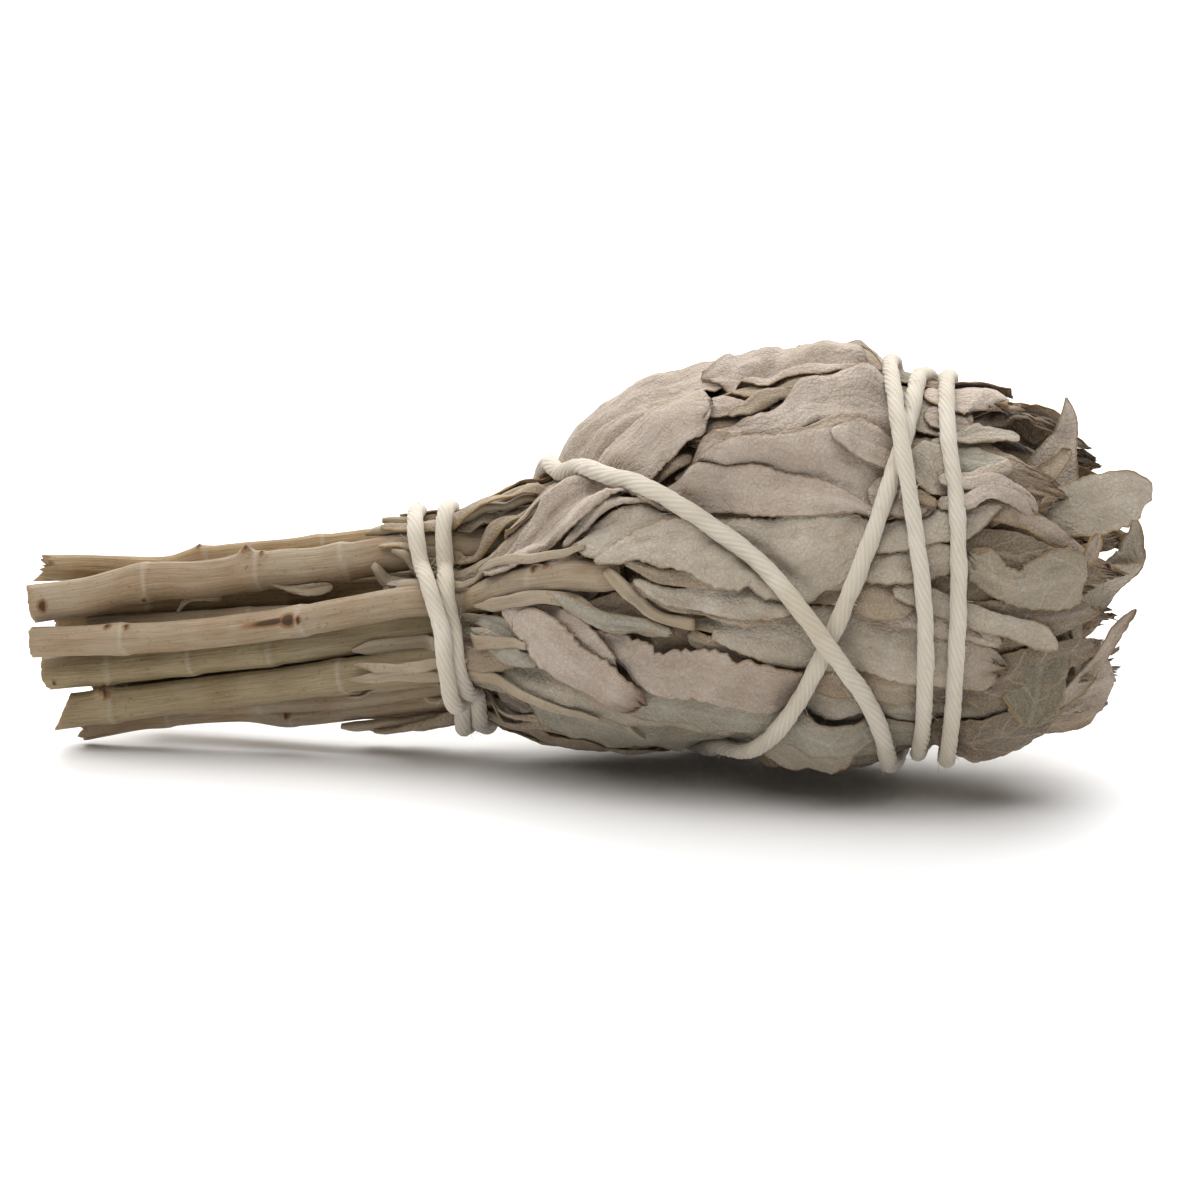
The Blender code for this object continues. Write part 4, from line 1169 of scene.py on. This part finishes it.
FRONT_LOW = (
    ("blue_strip", "silver",
     ((-7.5, -14, 0.4), (-3, -19, 1.2), (1.2, -24, 1.7), (5.3, -29, 2.3), (9, -34, 2.4),
      (14, -38, 2.3), (19, -40, 2.6), (25, -42, 3), (30, -43, 1.5)),
     dict(upper=-50, tone=0.5)),
    ("under_pink", "green",
     ((5.5, -22, 0.8), (9.4, -28, 1.7), (14, -32, 1.7), (19, -34, 1.8), (24, -35, 1.7),
      (30, -37, 1.4), (36, -40, 0.6)), dict(tone=0.45)),
    ("mid_band", "silver",
     ((14.4, -5.5, 0.4), (16.5, -5.5, 0.6), (17.2, -6, 1.3), (20.5, -7, 2), (25.3, -8, 3),
      (30, -8, 3.1), (34.6, -11, 2.8), (38.3, -14, 2.6), (41.4, -16, 2.4), (43.8, -17.5, 2.3)),
     dict(tone=0.1, worn=0.5, torn=0.5, golden=0.5, ragged=0.08, lower=-30)),
    ("lower_pink", "rosy",
     ((2, 2, 0.4), (4, -5, 0.6), (7.7, -13, 1.3), (10, -17, 1.9), (12.5, -19, 2),
      (14.7, -19.5, 2.3), (17.4, -20, 2.7), (20.4, -22, 2.8), (23.3, -22, 2.7), (26, -24, 1.5)),
     dict(tone=0.3, worn=0.6, ragged=0.12, bites=((0.42, 1, 0.9, 0.8), (0.7, 1, 0.5, 0.5)),
          lower=-40)),
    ("node_scrap", "tan",
     ((-11, -5, 1), (-9, -6, 1.3), (-7, -7, 1.4), (-4.6, -8, 1.4), (-2, -12, 0.5)),
     dict(tone=0.4)),
    ("ribbon_folded", "green",
     ((-10, 19, 0.5), (-6.2, 10, 0.9), (-3.8, 1, 1.3), (-1.3, -8, 1), (1.5, -13, 0.5)),
     dict(fold=30, tone=0.35)),
    ("ribbon_low", "green",
     ((-10, 9, 0.6), (-6.7, 5, 0.9), (-4, -5, 1), (-0.8, -13, 0.5)), dict(fold=-25, tone=0.4)),
    ("fold_piece", "rosy",
     ((-5, 15, 0.4), (-2.9, 8, 1.2), (-0.2, 0, 2.1), (2.5, -5, 2), (5, -12, 1.4), (7, -17, 0.8)),
     dict(tone=0.15, fold=-8, torn=0.3)),
    ("pink_tip", "rosy",
     ((-3.5, 8, 0.8), (-1.8, 4, 1.5), (0.2, -4, 2), (2.5, -14, 2.1), (5.5, -20, 2.1), (8.3, -25, 1.8),
      (9.8, -27, 0.9)),
     dict(tone=0.2, torn=0.6, worn=0.8, fold=-10, ragged=0.1)),
    ("right_hook", "rosy",
     ((29, 6, 1), (31, 5, 1.7), (33.7, 3, 1.9), (36.2, 1, 1.9), (38.8, -2, 1.6),
      (41.2, -4, 1.3), (43, -7, 0.8), (44, -9.5, 0.3)), dict(tone=0.2)),
    ("under_grey", "tan",
     ((24, 3, 0.5), (27.6, 5, 1.2), (30, 6, 1.9), (33, 5, 2), (36, 3, 1.2)), dict(tone=0.3)),
    ("right_band", "silver",
     ((34, 8, 0.8), (37, 5, 1.1), (39.7, 2, 1.3), (42.4, -1, 1.2), (45.1, -3, 1.2),
      (47.4, -6, 1.2), (48.6, -9, 0.8), (49.2, -12, 0.3)), dict(tone=0.3, upper=-120, roll=0.4)),
    ("under_pointed", "silver",
     ((29, 13, 1), (31.5, 14, 1.8), (34.5, 15, 2), (37.2, 16, 1.8), (40, 17, 1.1)),
     dict(tone=0.35)),
    ("pointed", "silver",
     ((30, 20, 1), (33, 21.5, 1.5), (34.8, 23, 1.6), (36.9, 25, 1.7), (39.4, 27.5, 1.7),
      (40.9, 29.5, 1.3), (42.3, 32, 0.8), (43.8, 35, 0.15)), dict(tone=0)),
    ("wide_right", "silver",
     ((51.7, 14.5, 1.2), (51, 14.5, 2.3), (49.4, 13, 2.9), (47.6, 11.3, 2.5),
      (45.8, 9.6, 1.7), (43.8, 11.2, 1.6), (42.2, 15, 1.9), (40.9, 18.5, 1.7)),
     dict(tone=0.8, ragged=0.1, loose=0.1, lower=30, torn=1.1, fine=1.3)),
)
lay_leaves(FRONT_LOW)

# %% [markdown]
# The upper leaves lie over the lower ones, and the one nearest the neck was tied in last, over
# all of them. Between the broad blades are narrow rolls: leaves that dried with both margins
# turned under, and show only as thin bands with dark gaps.

# %% The middle and upper leaves
FRONT_HIGH = (
    ("shoulder_scrap", "tan",
     ((11, 57, 0.8), (14.1, 58, 1.5), (16.5, 58, 1.4), (19, 58.5, 0.6)), dict(tone=0.5)),
    ("shoulder_high", "rosy",
     ((-6, 58, 0.8), (-0.2, 62, 2.7), (3.5, 67, 4.1), (7.6, 69.5, 3.8), (11.4, 70, 3.7),
      (15, 67.5, 3.4), (17.5, 64.5, 2.8), (19.2, 62, 1.8), (20.2, 60, 0.7)),
     dict(tone=0.2, worn=0.9, torn=0.9, golden=0.5, pleats=(4, 0.2))),
    ("crown_under", "tan",
     ((14, 74, 0.6), (18, 72, 1.4), (22.5, 69, 1.3), (26.3, 69, 1), (30, 72, 0.6)),
     dict(tone=0.5)),
    ("band_thin", "tan",
     ((14, 50, 0.3), (16.3, 51, 0.8), (18.3, 52, 0.7), (20.5, 53.5, 0.3)), dict(tone=0.5)),
    ("band_high", "rosy",
     ((15.5, 50, 0.3), (18.8, 50.5, 0.9), (22.1, 53, 1.8), (24.8, 57, 2.4), (27.5, 60, 2.7),
      (30.3, 63, 3.1), (33, 65, 3.3), (36, 66, 2.6)), dict(tone=0, lower=-110)),
    ("crown_back", "tan",
     ((20, 98, 2.5), (25, 96, 3), (29, 92, 2), (31, 90, 0.8)), dict(tone=0.3, upper=120)),
    ("crown", "rosy",
     ((12.4, 94, 0.3), (14.4, 91.5, 1.5), (16.8, 88.5, 3), (19.4, 86, 4.2), (22, 84, 4.6),
      (24.4, 82, 4.4), (26.6, 80, 3.9), (28.4, 78.5, 2.6), (29.8, 78, 1)),
     dict(tone=0.05, torn=0.7, worn=0.7, wave=0.15, golden=0.4, loose=0, lower=-30, reach=0.7)),
    ("crown_roll", "tan",
     ((17, 56, 0.6), (18.8, 58, 1.2), (20.3, 61, 1.3), (21.7, 63, 0.9), (23.2, 63.5, 0.5)),
     dict(tone=0.35, upper=-150, lower=-120, roll=0.5)),
    ("band_scrap", "rosy",
     ((12, 42, 0.4), (13.3, 43, 0.7), (15.6, 46, 0.9), (18, 46, 0.7), (20, 45, 0.3)),
     dict(tone=0.3)),
    ("band_roll", "tan",
     ((17, 46, 0.3), (19, 46, 0.5), (22.4, 46.5, 0.7), (25.2, 48, 0.8), (27.9, 51, 0.8),
      (30.7, 53, 0.8), (33.5, 52.5, 0.5)), dict(tone=0.2, upper=-140, lower=-140, roll=0.5)),
    ("mid_green", "rosy",
     ((14.6, 40, 0.6), (17.7, 41, 1.2), (20.7, 40.5, 1.8), (23.6, 40, 2.3), (26, 40, 2.7),
      (29.3, 38.5, 3), (31.8, 36, 3), (35, 33, 2), (37.5, 31, 1)), dict(tone=0)),
    ("round_speck", "rosy",
     ((27.4, 46, 0.5), (29.8, 46, 1.5), (31.8, 46, 1.8), (33.6, 47, 1.3)), dict(tone=0.2)),
    ("between", "rosy",
     ((31, 35, 1.5), (33, 34, 1.9), (35, 32, 1.6), (36.8, 30, 0.8)), dict(tone=0.3)),
    ("scrap_roll", "tan",
     ((7.5, 40, 0.4), (8.5, 41, 0.6), (10.3, 43, 0.8), (12.2, 45.5, 1.1), (13.6, 47, 1)),
     dict(tone=0.35, upper=-140, lower=-140, roll=0.5)),
    ("open_v", "silver",
     ((16, 24, 1), (14.8, 24, 1.6), (11.9, 24, 2.2), (8.8, 24.5, 2.5), (5.4, 24.5, 2.2),
      (3.7, 26, 1.4), (2.4, 27, 0.6)), dict(tone=0.2, torn=0.5, fold=5)),
    ("lens_low", "tan",
     ((8.5, 8, 0.3), (11.9, 2, 0.8), (15.7, -0.5, 0.8), (20, -2, 0.8), (25, -1, 0.4)),
     dict(tone=0.3, upper=-90, lower=-90, roll=0.5)),
    ("lens_pale", "silver",
     ((9, 9, 0.3), (12.2, 4, 0.9), (14.9, 3, 1.2), (17.6, 3, 1.4), (20, 3, 1.6), (22.7, 2, 1.3),
      (25.5, 2, 0.5)), dict(tone=0.15, upper=-60, lower=-60, roll=0.4)),
    ("lens_brown", "tan",
     ((8, 15, 0.3), (10.7, 11, 0.7), (12.5, 9.5, 1), (14.8, 9, 1.1), (17, 8.5, 0.8),
      (19.5, 7, 0.3)), dict(tone=0.35, upper=-90, lower=-90, roll=0.5)),
    ("broad_grey", "silver",
     ((5.2, 16.5, 0.3), (7.4, 17, 0.9), (9.6, 19, 1.5), (12, 19, 2.2), (15.4, 18, 2.8),
      (18.9, 16, 3.4), (22.3, 15, 3.8), (25.1, 15, 4.1), (27.4, 17, 3.7), (29.5, 21, 2.5),
      (31, 23, 1.4), (32, 24, 0.5)), dict(tone=0.05, cup=0.02, ragged=0.09, fine=1.2,
                                          bites=((0.55, -1, 0.5, 0.7), (0.75, -1, 0.6, 0.5)))),
    ("small_roll", "rosy",
     ((1.5, 26, 0.5), (3.1, 31, 0.9), (4.6, 33, 0.9), (7.2, 34, 0.8), (10, 34, 0.6)),
     dict(tone=0.25, upper=-120, lower=-120, roll=0.5)),
    ("crescent", "rosy",
     ((8.6, 35, 0.4), (11.6, 34, 1.6), (14, 34, 1.9), (17, 34, 2), (20, 33, 2.1), (23, 32, 2.2),
      (25.8, 31, 1.9), (28.6, 30, 1.3), (30.7, 29, 0.7), (32.4, 27, 0.2)),
     dict(tone=0.2, lower=-50)),
    ("shoulder_low", "rosy",
     ((-7.4, 36, 0.8), (-5.5, 37.5, 2), (-3, 39, 2.9), (0, 41.5, 3.6), (3, 46, 4.2), (6, 51, 4.4),
      (9, 55.5, 4.4), (11.6, 58, 3.9), (13.6, 60.5, 3.2), (14.9, 61.5, 1.7)),
     dict(tone=0.1, pleats=(5, 0.14), lower=-10, upper=-10, cup=0.02, torn=0.3, fine=1.2,
          loose=0.1)),
    ("strand_scrap", "tan",
     ((33.5, 51, 0.8), (34.9, 52, 1.3), (36.8, 53, 1.1), (38.6, 54, 0.7)), dict(tone=0.3)),
    ("top_strand", "silver",
     ((33, 64, 2.2), (34.5, 65, 2.6), (36, 66, 3.2), (38, 66, 3), (40, 66, 1.5)),
     dict(tone=0.2)),
    ("greenish_fold", "green",
     ((36, 50, 1.4), (38, 50, 2), (39.8, 50, 2.2), (41.6, 50, 1.9), (44, 51.5, 0.6)),
     dict(tone=0.35, fold=-14)),
    ("rounded_end", "silver",
     ((35.8, 51, 1.4), (36.3, 47, 1.9), (36.9, 42, 1.9), (37.5, 38, 1.5), (38, 35.5, 0.8)),
     dict(tone=0.3)),
    ("strand_bit", "tan", ((34.8, 35, 0.5), (36.2, 33, 0.6), (37.6, 31.5, 0.4)),
     dict(tone=0.6)),
    ("pink_end", "rosy",
     ((35.5, 63, 1.8), (37, 63.5, 1.7), (38.4, 64, 1.4), (40.3, 62, 0.2)),
     dict(tone=0.3, worn=0.4)),
    ("top_torn", "rosy",
     ((35, 73, 1.8), (36.5, 74, 2.4), (37.6, 76, 3), (39.4, 78, 3.6), (40.9, 78, 3.2),
      (42.3, 76, 1.8)), dict(tone=0.1, torn=0.8, golden=0.6, worn=0.5, cup=-0.3)),
    ("top_edge", "tan",
     ((33, 92, 2), (36, 93, 2.8), (40, 95, 2.6), (43, 95, 1.6)), dict(tone=0.4, worn=0.6)),
    ("top_band", "silver",
     ((37, 56, 0.6), (38.8, 57, 0.9), (40.4, 60, 1.1), (42.6, 66, 1.4), (44.3, 71, 1)),
     dict(tone=0.25, upper=-60)),
)
lay_leaves(FRONT_HIGH)

# %% [markdown]
# ## The open end
# Past the last turn of twine the leaves spring apart. Their tips stand free, so they aren't
# laid on anything: each has its own line in space, (x, y, z, half width), and a direction that
# its face looks in. The gaps between them are left open, and the light comes through.

# %% Free-standing tips
FREE_TIPS = (
    ("fan_under", "tan", (0.2, -0.7, -0.6),
     ((43, -9.5, 8, 0.8), (46, -10, 8, 0.9), (48.2, -9, 8.4, 1.2), (50.5, -7.5, 8.6, 1.5),
      (52.4, -6, 9.1, 1.3), (53.2, -5, 9.5, 0.5)), dict(tone=0.6, torn=0.9, worn=0.4)),
    ("low_torn", "tan", (0.2, -0.9, -0.4),
     ((41, -13, 7.6, 0.9), (43.4, -13.5, 8.3, 1.2), (44.9, -13.2, 9.3, 1.5),
      (46.2, -13, 10.6, 0.9)), dict(torn=0.8, worn=0.5, tone=0.4)),
    ("fan", "rosy", (0.5, -0.8, -0.1),
     ((45, -11, 10, 0.8), (48.5, -11, 11, 1.4), (50.9, -10, 12.1, 2.2), (52.7, -8.5, 12.5, 2.8),
      (54.2, -7, 12.4, 2.9)),
     dict(tone=0.45, pleats=(7, 0.2), torn=0.25)),
    ("fold_tip", "rosy", (0.3, -0.9, -0.2),
     ((44.5, -12.8, 9, 0.6), (47.6, -13.5, 10.4, 0.8), (48.7, -13, 11.3, 0.9),
      (50.7, -12, 12.9, 1), (52.5, -10.5, 15.1, 0.9), (54.2, -8.5, 17.6, 0.8),
      (56, -6.5, 19.6, 0.3)), dict(fold=22, tone=0.45, worn=0.3)),
    ("strip", "silver", (0.7, -0.7, 0.1),
     ((48.8, -10.5, 21.4, 0.4), (50.3, -10.5, 20, 0.5), (50.7, -10.5, 17.8, 0.7),
      (50.9, -10.5, 15.3, 0.7), (50.7, -10.5, 13.1, 0.3)), dict(tone=0.4)),
    # painted shade: the full tone darkens this tip, which stands in shade
    ("dark_green", "green", (0.35, -0.93, 0),
     ((46.6, -15.2, 9.8, 1.9), (47.1, -15, 11.8, 3), (47.4, -14.7, 14, 3.3), (47.9, -14.2, 16.2, 2.8),
      (48.5, -13.5, 18.4, 1.9), (49.2, -12.8, 20.8, 0.7)),
     dict(tone=1, golden=1, ragged=0.15, cup=-0.2, fine=1.3, torn=0.3, lower=-40)),
    ("golden_rim", "rosy", (0.35, -0.75, 0.55),
     ((42.6, -14, 31.2, 0.7), (44.8, -13.8, 30.4, 1.1), (47, -13.4, 29.2, 1.3),
      (49.2, -12.9, 27.8, 1.2), (51, -12.3, 26.2, 0.9), (52, -12, 25.2, 0.4)),
     dict(tone=0.6, golden=1, cup=-0.5, fold=-15)),
    # painted shade: a dark leaf set in the hollow under the tips
    ("hollow", "shade", (0.1, -0.9, 0.2),
     ((40, -12.3, 25.5, 1.2), (42.5, -12, 25.8, 1.8), (45, -11.6, 25.2, 2.2), (47.2, -11.2, 24.2, 1.8),
      (49, -11, 23.2, 0.8)),
     dict(tone=0.4, cup=-0.5)),
    ("tip_fold", "rosy", (0.2, -0.95, 0.1),
     ((51, -12.8, 24.4, 0.3), (51.7, -12.7, 25.8, 0.8), (52.3, -12.4, 27.2, 0.9),
      (52.5, -12.2, 28.2, 0.4)),
     dict(fold=45, tone=0.2, golden=0.6)),
    ("tip_fold_near", "rosy", (-0.1, -0.95, 0.2),
     ((49.2, -12.6, 27.4, 0.35), (50.1, -12.9, 25.9, 0.6), (51, -12.9, 24.4, 0.3)),
     dict(fold=30, tone=0.2, golden=0.8)),
    ("curl_hollow", "rosy", (0.2, -0.7, 0.7),
     ((38.5, -13.6, 33.4, 0.5), (40.6, -13.5, 33.6, 0.6), (41.8, -13, 33.8, 1.1),
      (43.2, -12.5, 34.2, 1.2), (44.2, -12, 34.8, 0.9)),
     dict(upper=-150, lower=-130, roll=0.6, tone=0.3)),
    ("roll_upper", "rosy", (0.1, -0.7, 0.7),
     ((37.5, -14.6, 33.5, 0.8), (40.2, -15, 33.3, 0.9), (42.2, -14.8, 33.5, 1),
      (44.5, -14, 32.7, 1.1), (45.9, -13, 31.6, 0.9), (46.7, -12.5, 29.9, 0.4)),
     dict(upper=-150, lower=-130, roll=0.5, tone=0.2)),
    ("roll_lower", "rosy", (0.1, -0.8, 0.5),
     ((37.5, -15.6, 31.2, 0.8), (40.3, -16, 31.7, 0.9), (42.1, -15.6, 32.6, 1),
      (44, -14.8, 32.2, 1.1), (45.4, -13.8, 31.1, 0.8), (46.4, -13, 29.6, 0.3)),
     dict(upper=-150, lower=-130, roll=0.5, tone=0.2)),
    ("dark_curved", "tan", (-0.1, -0.9, -0.25),
     ((39, -0.5, 37.4, 0.6), (41.6, 0, 37.5, 0.9), (43.9, 0.5, 36.9, 1.6), (45.8, 1, 36, 2.1),
      (47, 1.5, 35, 1.8), (47.2, 1.5, 33.8, 0.8)), dict(tone=0.5, golden=0.6)),
    ("back_tall", "silver", (0.3, -0.95, 0),
     ((51, -3, 20, 1.4), (54.9, -2, 23.2, 1.6), (55.2, -1.5, 24.6, 1.2), (55.5, -1, 26.2, 0.7),
      (55.1, -0.5, 27.9, 0.1)), dict(tone=0.4)),
    ("back_wide", "silver", (0.4, -0.8, -0.3),
     ((46, -8, 20.6, 1.3), (49, -7.5, 21.3, 1.5), (50.7, -7, 21.2, 2), (52, -6, 21.2, 2.3),
      (53.4, -5, 21.9, 1.9), (55, -3.5, 22.6, 1.1), (56.4, -2.5, 23.3, 0.3)), dict(tone=0.45)),
    ("spike", "rosy", (0.1, -0.6, 0.8),
     ((45.6, -5.5, 26.5, 2.4), (47, -4.5, 30.6, 3.2), (47.8, -4, 33.5, 2.4),
      (48.6, -3, 35.6, 1.3), (48.8, -2.5, 37.6, 0.8), (48.5, -2, 39.3, 0.1)),
     dict(tone=0, fold=8, upper=40)),
    ("flare", "silver", (0.05, -0.95, 0.3),
     ((44.5, -11.5, 29.4, 0.9), (47.5, -10.5, 29.6, 2), (50.5, -9.5, 29.9, 2.7), (53.2, -8, 30.3, 3),
      (55.2, -6.8, 30.8, 2.5), (56.6, -6, 30.6, 1.6), (57.2, -5.6, 30.2, 0.8)),
     dict(tone=0.1, wave=0.6, golden=0.3, ragged=0.1)),
    ("small_curl", "tan", (-0.3, -0.85, 0.3),
     ((43, -10, 30.2, 0.6), (45.4, -9.5, 31.5, 0.8), (46.7, -9, 32.7, 1.2),
      (48.2, -8.5, 33.9, 1.2), (49.6, -8, 35.3, 0.7)),
     dict(upper=70, lower=90, roll=0.5, worn=0.4)),
    ("small_end", "tan", (0, -0.8, 0.5),
     ((43.6, -10.3, 30.6, 0.5), (46.1, -10, 31.1, 0.6), (47.5, -9.5, 31.3, 0.5),
      (48.8, -9, 31.7, 0.2)), dict(torn=0.3)),
)
for name, finish, facing, path, shape in FREE_TIPS:
    place_leaf(name, finish, path, facing=facing, **shape)
place_leaf("underside", "tan", ((4, -96, 1.5), (12, -93, 4), (23, -91, 4.8), (34, -90, 4),
                                (42, -88, 1.5)), tone=0.5)
print(len(FREE_TIPS), "free tips and the leaf underneath")

# %% The stalks and ribbons that show on the front
FRONT_STALKS = (  # half width, half height and path
    (0.5, 0.3, ((-22, 50), (-20.5, 45), (-17.5, 43), (-14.5, 42), (-11, 41), (-7, 40))),
    (0.7, 0.3, ((-21.6, -22), (-15.7, -18), (-10.6, -20), (-7.5, -16), (-1, -25), (5, -36))),
    (0.8, 0.25, ((-21.6, -6), (-18, -2), (-13, 0), (-10, 2), (-6.5, 3), (-2, -3))),
    (0.5, 0.35, ((-8, 38), (-6, 36), (-2, 27), (0.5, 24), (4, 22))),
    (0.7, 0.4, ((-8.4, 22), (-7, 20), (-3.5, 15), (0.1, 11), (3.6, 5), (6.1, -4), (9.3, -8),
                (12.5, -9))),
)
front_stalks = [stalk_skin(500 + k, path, wide, thick, ends=(0.2, 0.5), tone=0.1)
                for k, (wide, thick, path) in enumerate(FRONT_STALKS)]
make_piece("sage_front_stalks", front_stalks, LEAF["stalk"])
lay_leaves((
    ("sheath", "stalk", ((-21, -13, 0.3), (-18, -12, 0.6), (-13, -10, 0.7), (-9, -7, 0.4)),
     dict(tone=0.1, cup=-0.6, ragged=0)),
    ("joint_bit", "rosy", ((-18.5, 53, 0.3), (-16.5, 55, 0.9), (-14, 56, 0.9)), dict(tone=0.2)),
    ("front_ribbon", "green",
     ((1, 11, 0.3), (3.6, 4, 0.7), (6.3, -2, 0.9), (9.2, -5, 0.8), (12.6, -8.5, 0.5)),
     dict(fold=-25, tone=0.3)),
))
make_piece("sage_loose_stalk", [stalk_skin(
    510, ((6.4, 13), (7.9, 8), (8.9, 4), (10.5, -1), (12.5, -4), (14.9, -5)), 0.65, 0.5,
    ends=(0.8, 0.9), tone=0)], LEAF["stalk"])
place_leaf("gap_lens", "stalk", (
    (-31.2, -3.0, 18.4, 0.12), (-29.4, -3.4, 17.7, 0.2), (-27.5, -3.6, 17.55, 0.55),
    (-25.7, -3.6, 17.7, 0.65), (-24.2, -3.4, 18.0, 0.35)), facing=(0, -1, 0.3), tone=0, fine=1.5)
place_leaf("gap_bit", "stalk", (
    (-40.5, -2.6, 14.5, 0.15), (-39.4, -2.9, 15.9, 0.3), (-37.8, -2.9, 16.3, 0.4),
    (-35.9, -2.5, 16.1, 0.3)), facing=(0, -1, 0.3), tone=0, fine=1.5)
print(len(front_stalks) + 1, "stalks on the front")

# %% [markdown]
# ## The cotton twine
# Soft kitchen twine, 1.6 to 1.85 mm thick as it is pulled tight or slack: threads of unbleached
# cotton twisted together, so its surface shows slanting ridges. Ten separate threads would need
# many times as many faces. One tube whose radius rises and falls ten times round has the same
# surface, if its rows of faces twist with the threads. Cotton hairs are finer than can show, so
# they are drawn 0.07 mm wide.

# %% The cotton material
def cotton_finish(name):
    """Unbleached cotton: matt cream with soft fibres, and painted shade between the threads."""
    made, tree, shader = new_finish(name, {"Roughness": 0.9, "Specular IOR Level": 0.2,
                                           "Sheen Weight": 0.3, "Sheen Roughness": 0.5})
    surface = node(tree, "ShaderNodeUVMap", uv_map="surface")
    place = node(tree, "ShaderNodeTexCoord", "Object")
    fibres = node(tree, "ShaderNodeMapping", 0, {"Vector": surface,
                                                 "Scale": (1 / 1.4, 1 / 0.07, 1)})
    share = strengths(tree, (("patches", place, 8 * MM, 0.35, 0.65, 0.8),
                             ("stains", place, 14 * MM, 0.5, 0.66, 0.35),
                             ("hairs", fibres, 1, 0.3, 0.7, 0.30)),
                      # painted shade: the groove mark darkens the valleys between the threads
                      (("groove", "groove", 0, 1, 0, 0.35),), detail=2)
    build_up(tree, shader, share, "#ddd5c9",
             (("patches", "#d0c6b5"), ("stains", "#b3a58c"), ("hairs", "#ab9e84"),
              ("groove", "#a39478")), (("hairs", 1.0),), 0.6, 0.2)
    return made


COTTON = cotton_finish("unbleached cotton twine")
print("twine finish:", COTTON.name)

# %% The twine
MEAN_RADIUS = 0.85  # mm
TURN_RADII = (0.85, 0.80, 0.80, 0.92, 0.85, 0.85)  # mm, turn by turn
THREADS = 10
TURN_LENGTH = 11.0  # mm along the twine for one full twist
AROUND_TWINE = 5 * THREADS
TWINE_STEP = 0.5  # mm between its rings
BRIDGE = 14  # route samples over which the twine bridges hollows
SOFTEN = 36  # route samples over which it rounds off steps
STRETCH = 140  # route samples that are laid before the next ones rest on them
twine_radius = np.interp(twine_angle / 360, np.arange(6) + 0.15, TURN_RADII)


def taut(rise):
    """The sliding maximum over 2 BRIDGE samples, then a bell-shaped mean over 2 SOFTEN."""
    padded = np.pad(rise, BRIDGE + SOFTEN, mode="edge")
    highest = np.lib.stride_tricks.sliding_window_view(padded, 2 * BRIDGE + 1).max(axis=1)
    bell = np.hanning(2 * SOFTEN + 1)
    return np.convolve(highest, bell / bell.sum(), mode="valid")


def pulled_route():
    """The twine's rise: each stretch laid on everything that was there before it."""
    under = np.full(len(twine_x), NOTHING_LAID)
    for first in range(0, len(twine_x), STRETCH):
        now = slice(first, first + STRETCH)
        under[now] = np.max([laid.top(twine_x[now] + side, twine_angle[now])
                             for side in (-0.4, 0, 0.4)], axis=0)
        before = slice(max(first - STRETCH, 0), first)
        top = taut(under)[before] + 1.85 * twine_radius[before]
        for side in (-0.8, -0.4, 0, 0.4, 0.8):
            laid.lay(twine_x[before] + side, twine_angle[before], top - 0.5 * abs(side))
    return taut(under) + 0.3 * twine_radius


twine_line = on_bundle(twine_x, twine_angle, pulled_route())
twine_line[:, 2] = np.maximum(twine_line[:, 2], twine_radius + 0.05)
twine_way = way_along(twine_line)
rows = int(twine_way[-1] / TWINE_STEP)
even = np.linspace(0, twine_way[-1], rows)
radius = np.interp(even, twine_way, twine_radius)
twine_line = np.column_stack([np.interp(even, twine_way, column) for column in twine_line.T])
around = np.linspace(0, 2 * np.pi, AROUND_TWINE, endpoint=False) + np.pi / AROUND_TWINE
rng = np.random.default_rng(77)
twist = 2 * np.pi * (even + 0.5 * wander(rng, even, 20)) / TURN_LENGTH
turn = around + twist[:, None]
wave = np.abs(np.sin(THREADS / 2 * around))
thickness = radius * (1 + 0.03 * wander(rng, even, 6))
reach = thickness[:, None] * (0.90 + 0.10 * wave ** 0.8 + 0.05 * lumps(
    rng, even[:, None], around, 3.0))
rings = swept(twine_line, outward_from_axis(twine_line), -np.cos(turn) * reach,
              np.sin(turn) * reach * 0.94)
# Painted shade: groove is 1 in the valleys between the threads, where the finish is darker
tube = skin(rings, even[:, None], around * MEAN_RADIUS, 2 * np.pi * MEAN_RADIUS,
            groove=1 - wave)
make_piece("cotton_twine", [tube], COTTON, ["twine"])
print("twine", round(twine_way[-1]), "mm long;", rows * AROUND_TWINE * 2, "triangles")

# %% Loose fibres on the twine
FIBRES = 600
FIBRE_RADIUS = 0.022  # mm, coarser than a cotton hair, which would be too fine to show
fibre_turn = np.linspace(0, 2 * np.pi, 4, endpoint=False)
along_twine, side, out = frames(twine_line, outward_from_axis(twine_line))
fibres = []
for k in rng.integers(6, rows - 6, FIBRES):
    turn = rng.uniform(0, 2 * np.pi)
    away = side[k] * math.cos(turn) + out[k] * math.sin(turn)
    lean = along_twine[k] * rng.uniform(-1.5, 1.5) + np.cross(along_twine[k], away)
    bend = rng.uniform(-0.5, 0.5, 3)
    long = rng.uniform(0.4, 1.5)
    share = np.linspace(0, 1, 6)[:, None]
    line = twine_line[k] + away * (0.9 * thickness[k] + 0.28 * long * share) + long * share * (
        0.4 * lean + bend * share)
    thin = np.full((6, 1), FIBRE_RADIUS)
    fibres.append(skin(swept(line, np.broadcast_to(away, line.shape), np.cos(fibre_turn) * thin,
                             np.sin(fibre_turn) * thin), share, fibre_turn, groove=0.0))
make_piece("cotton_twine_fibres", fibres, COTTON)
print(len(fibres), "loose fibres")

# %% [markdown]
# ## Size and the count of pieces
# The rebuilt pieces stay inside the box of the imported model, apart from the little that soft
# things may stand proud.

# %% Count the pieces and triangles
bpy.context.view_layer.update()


shown = [piece for piece in bpy.data.objects if piece.type == "MESH" and not piece.hide_render]
print(len(shown), "pieces;", sum(len(p.data.polygons) for p in shown) * 2, "triangles")
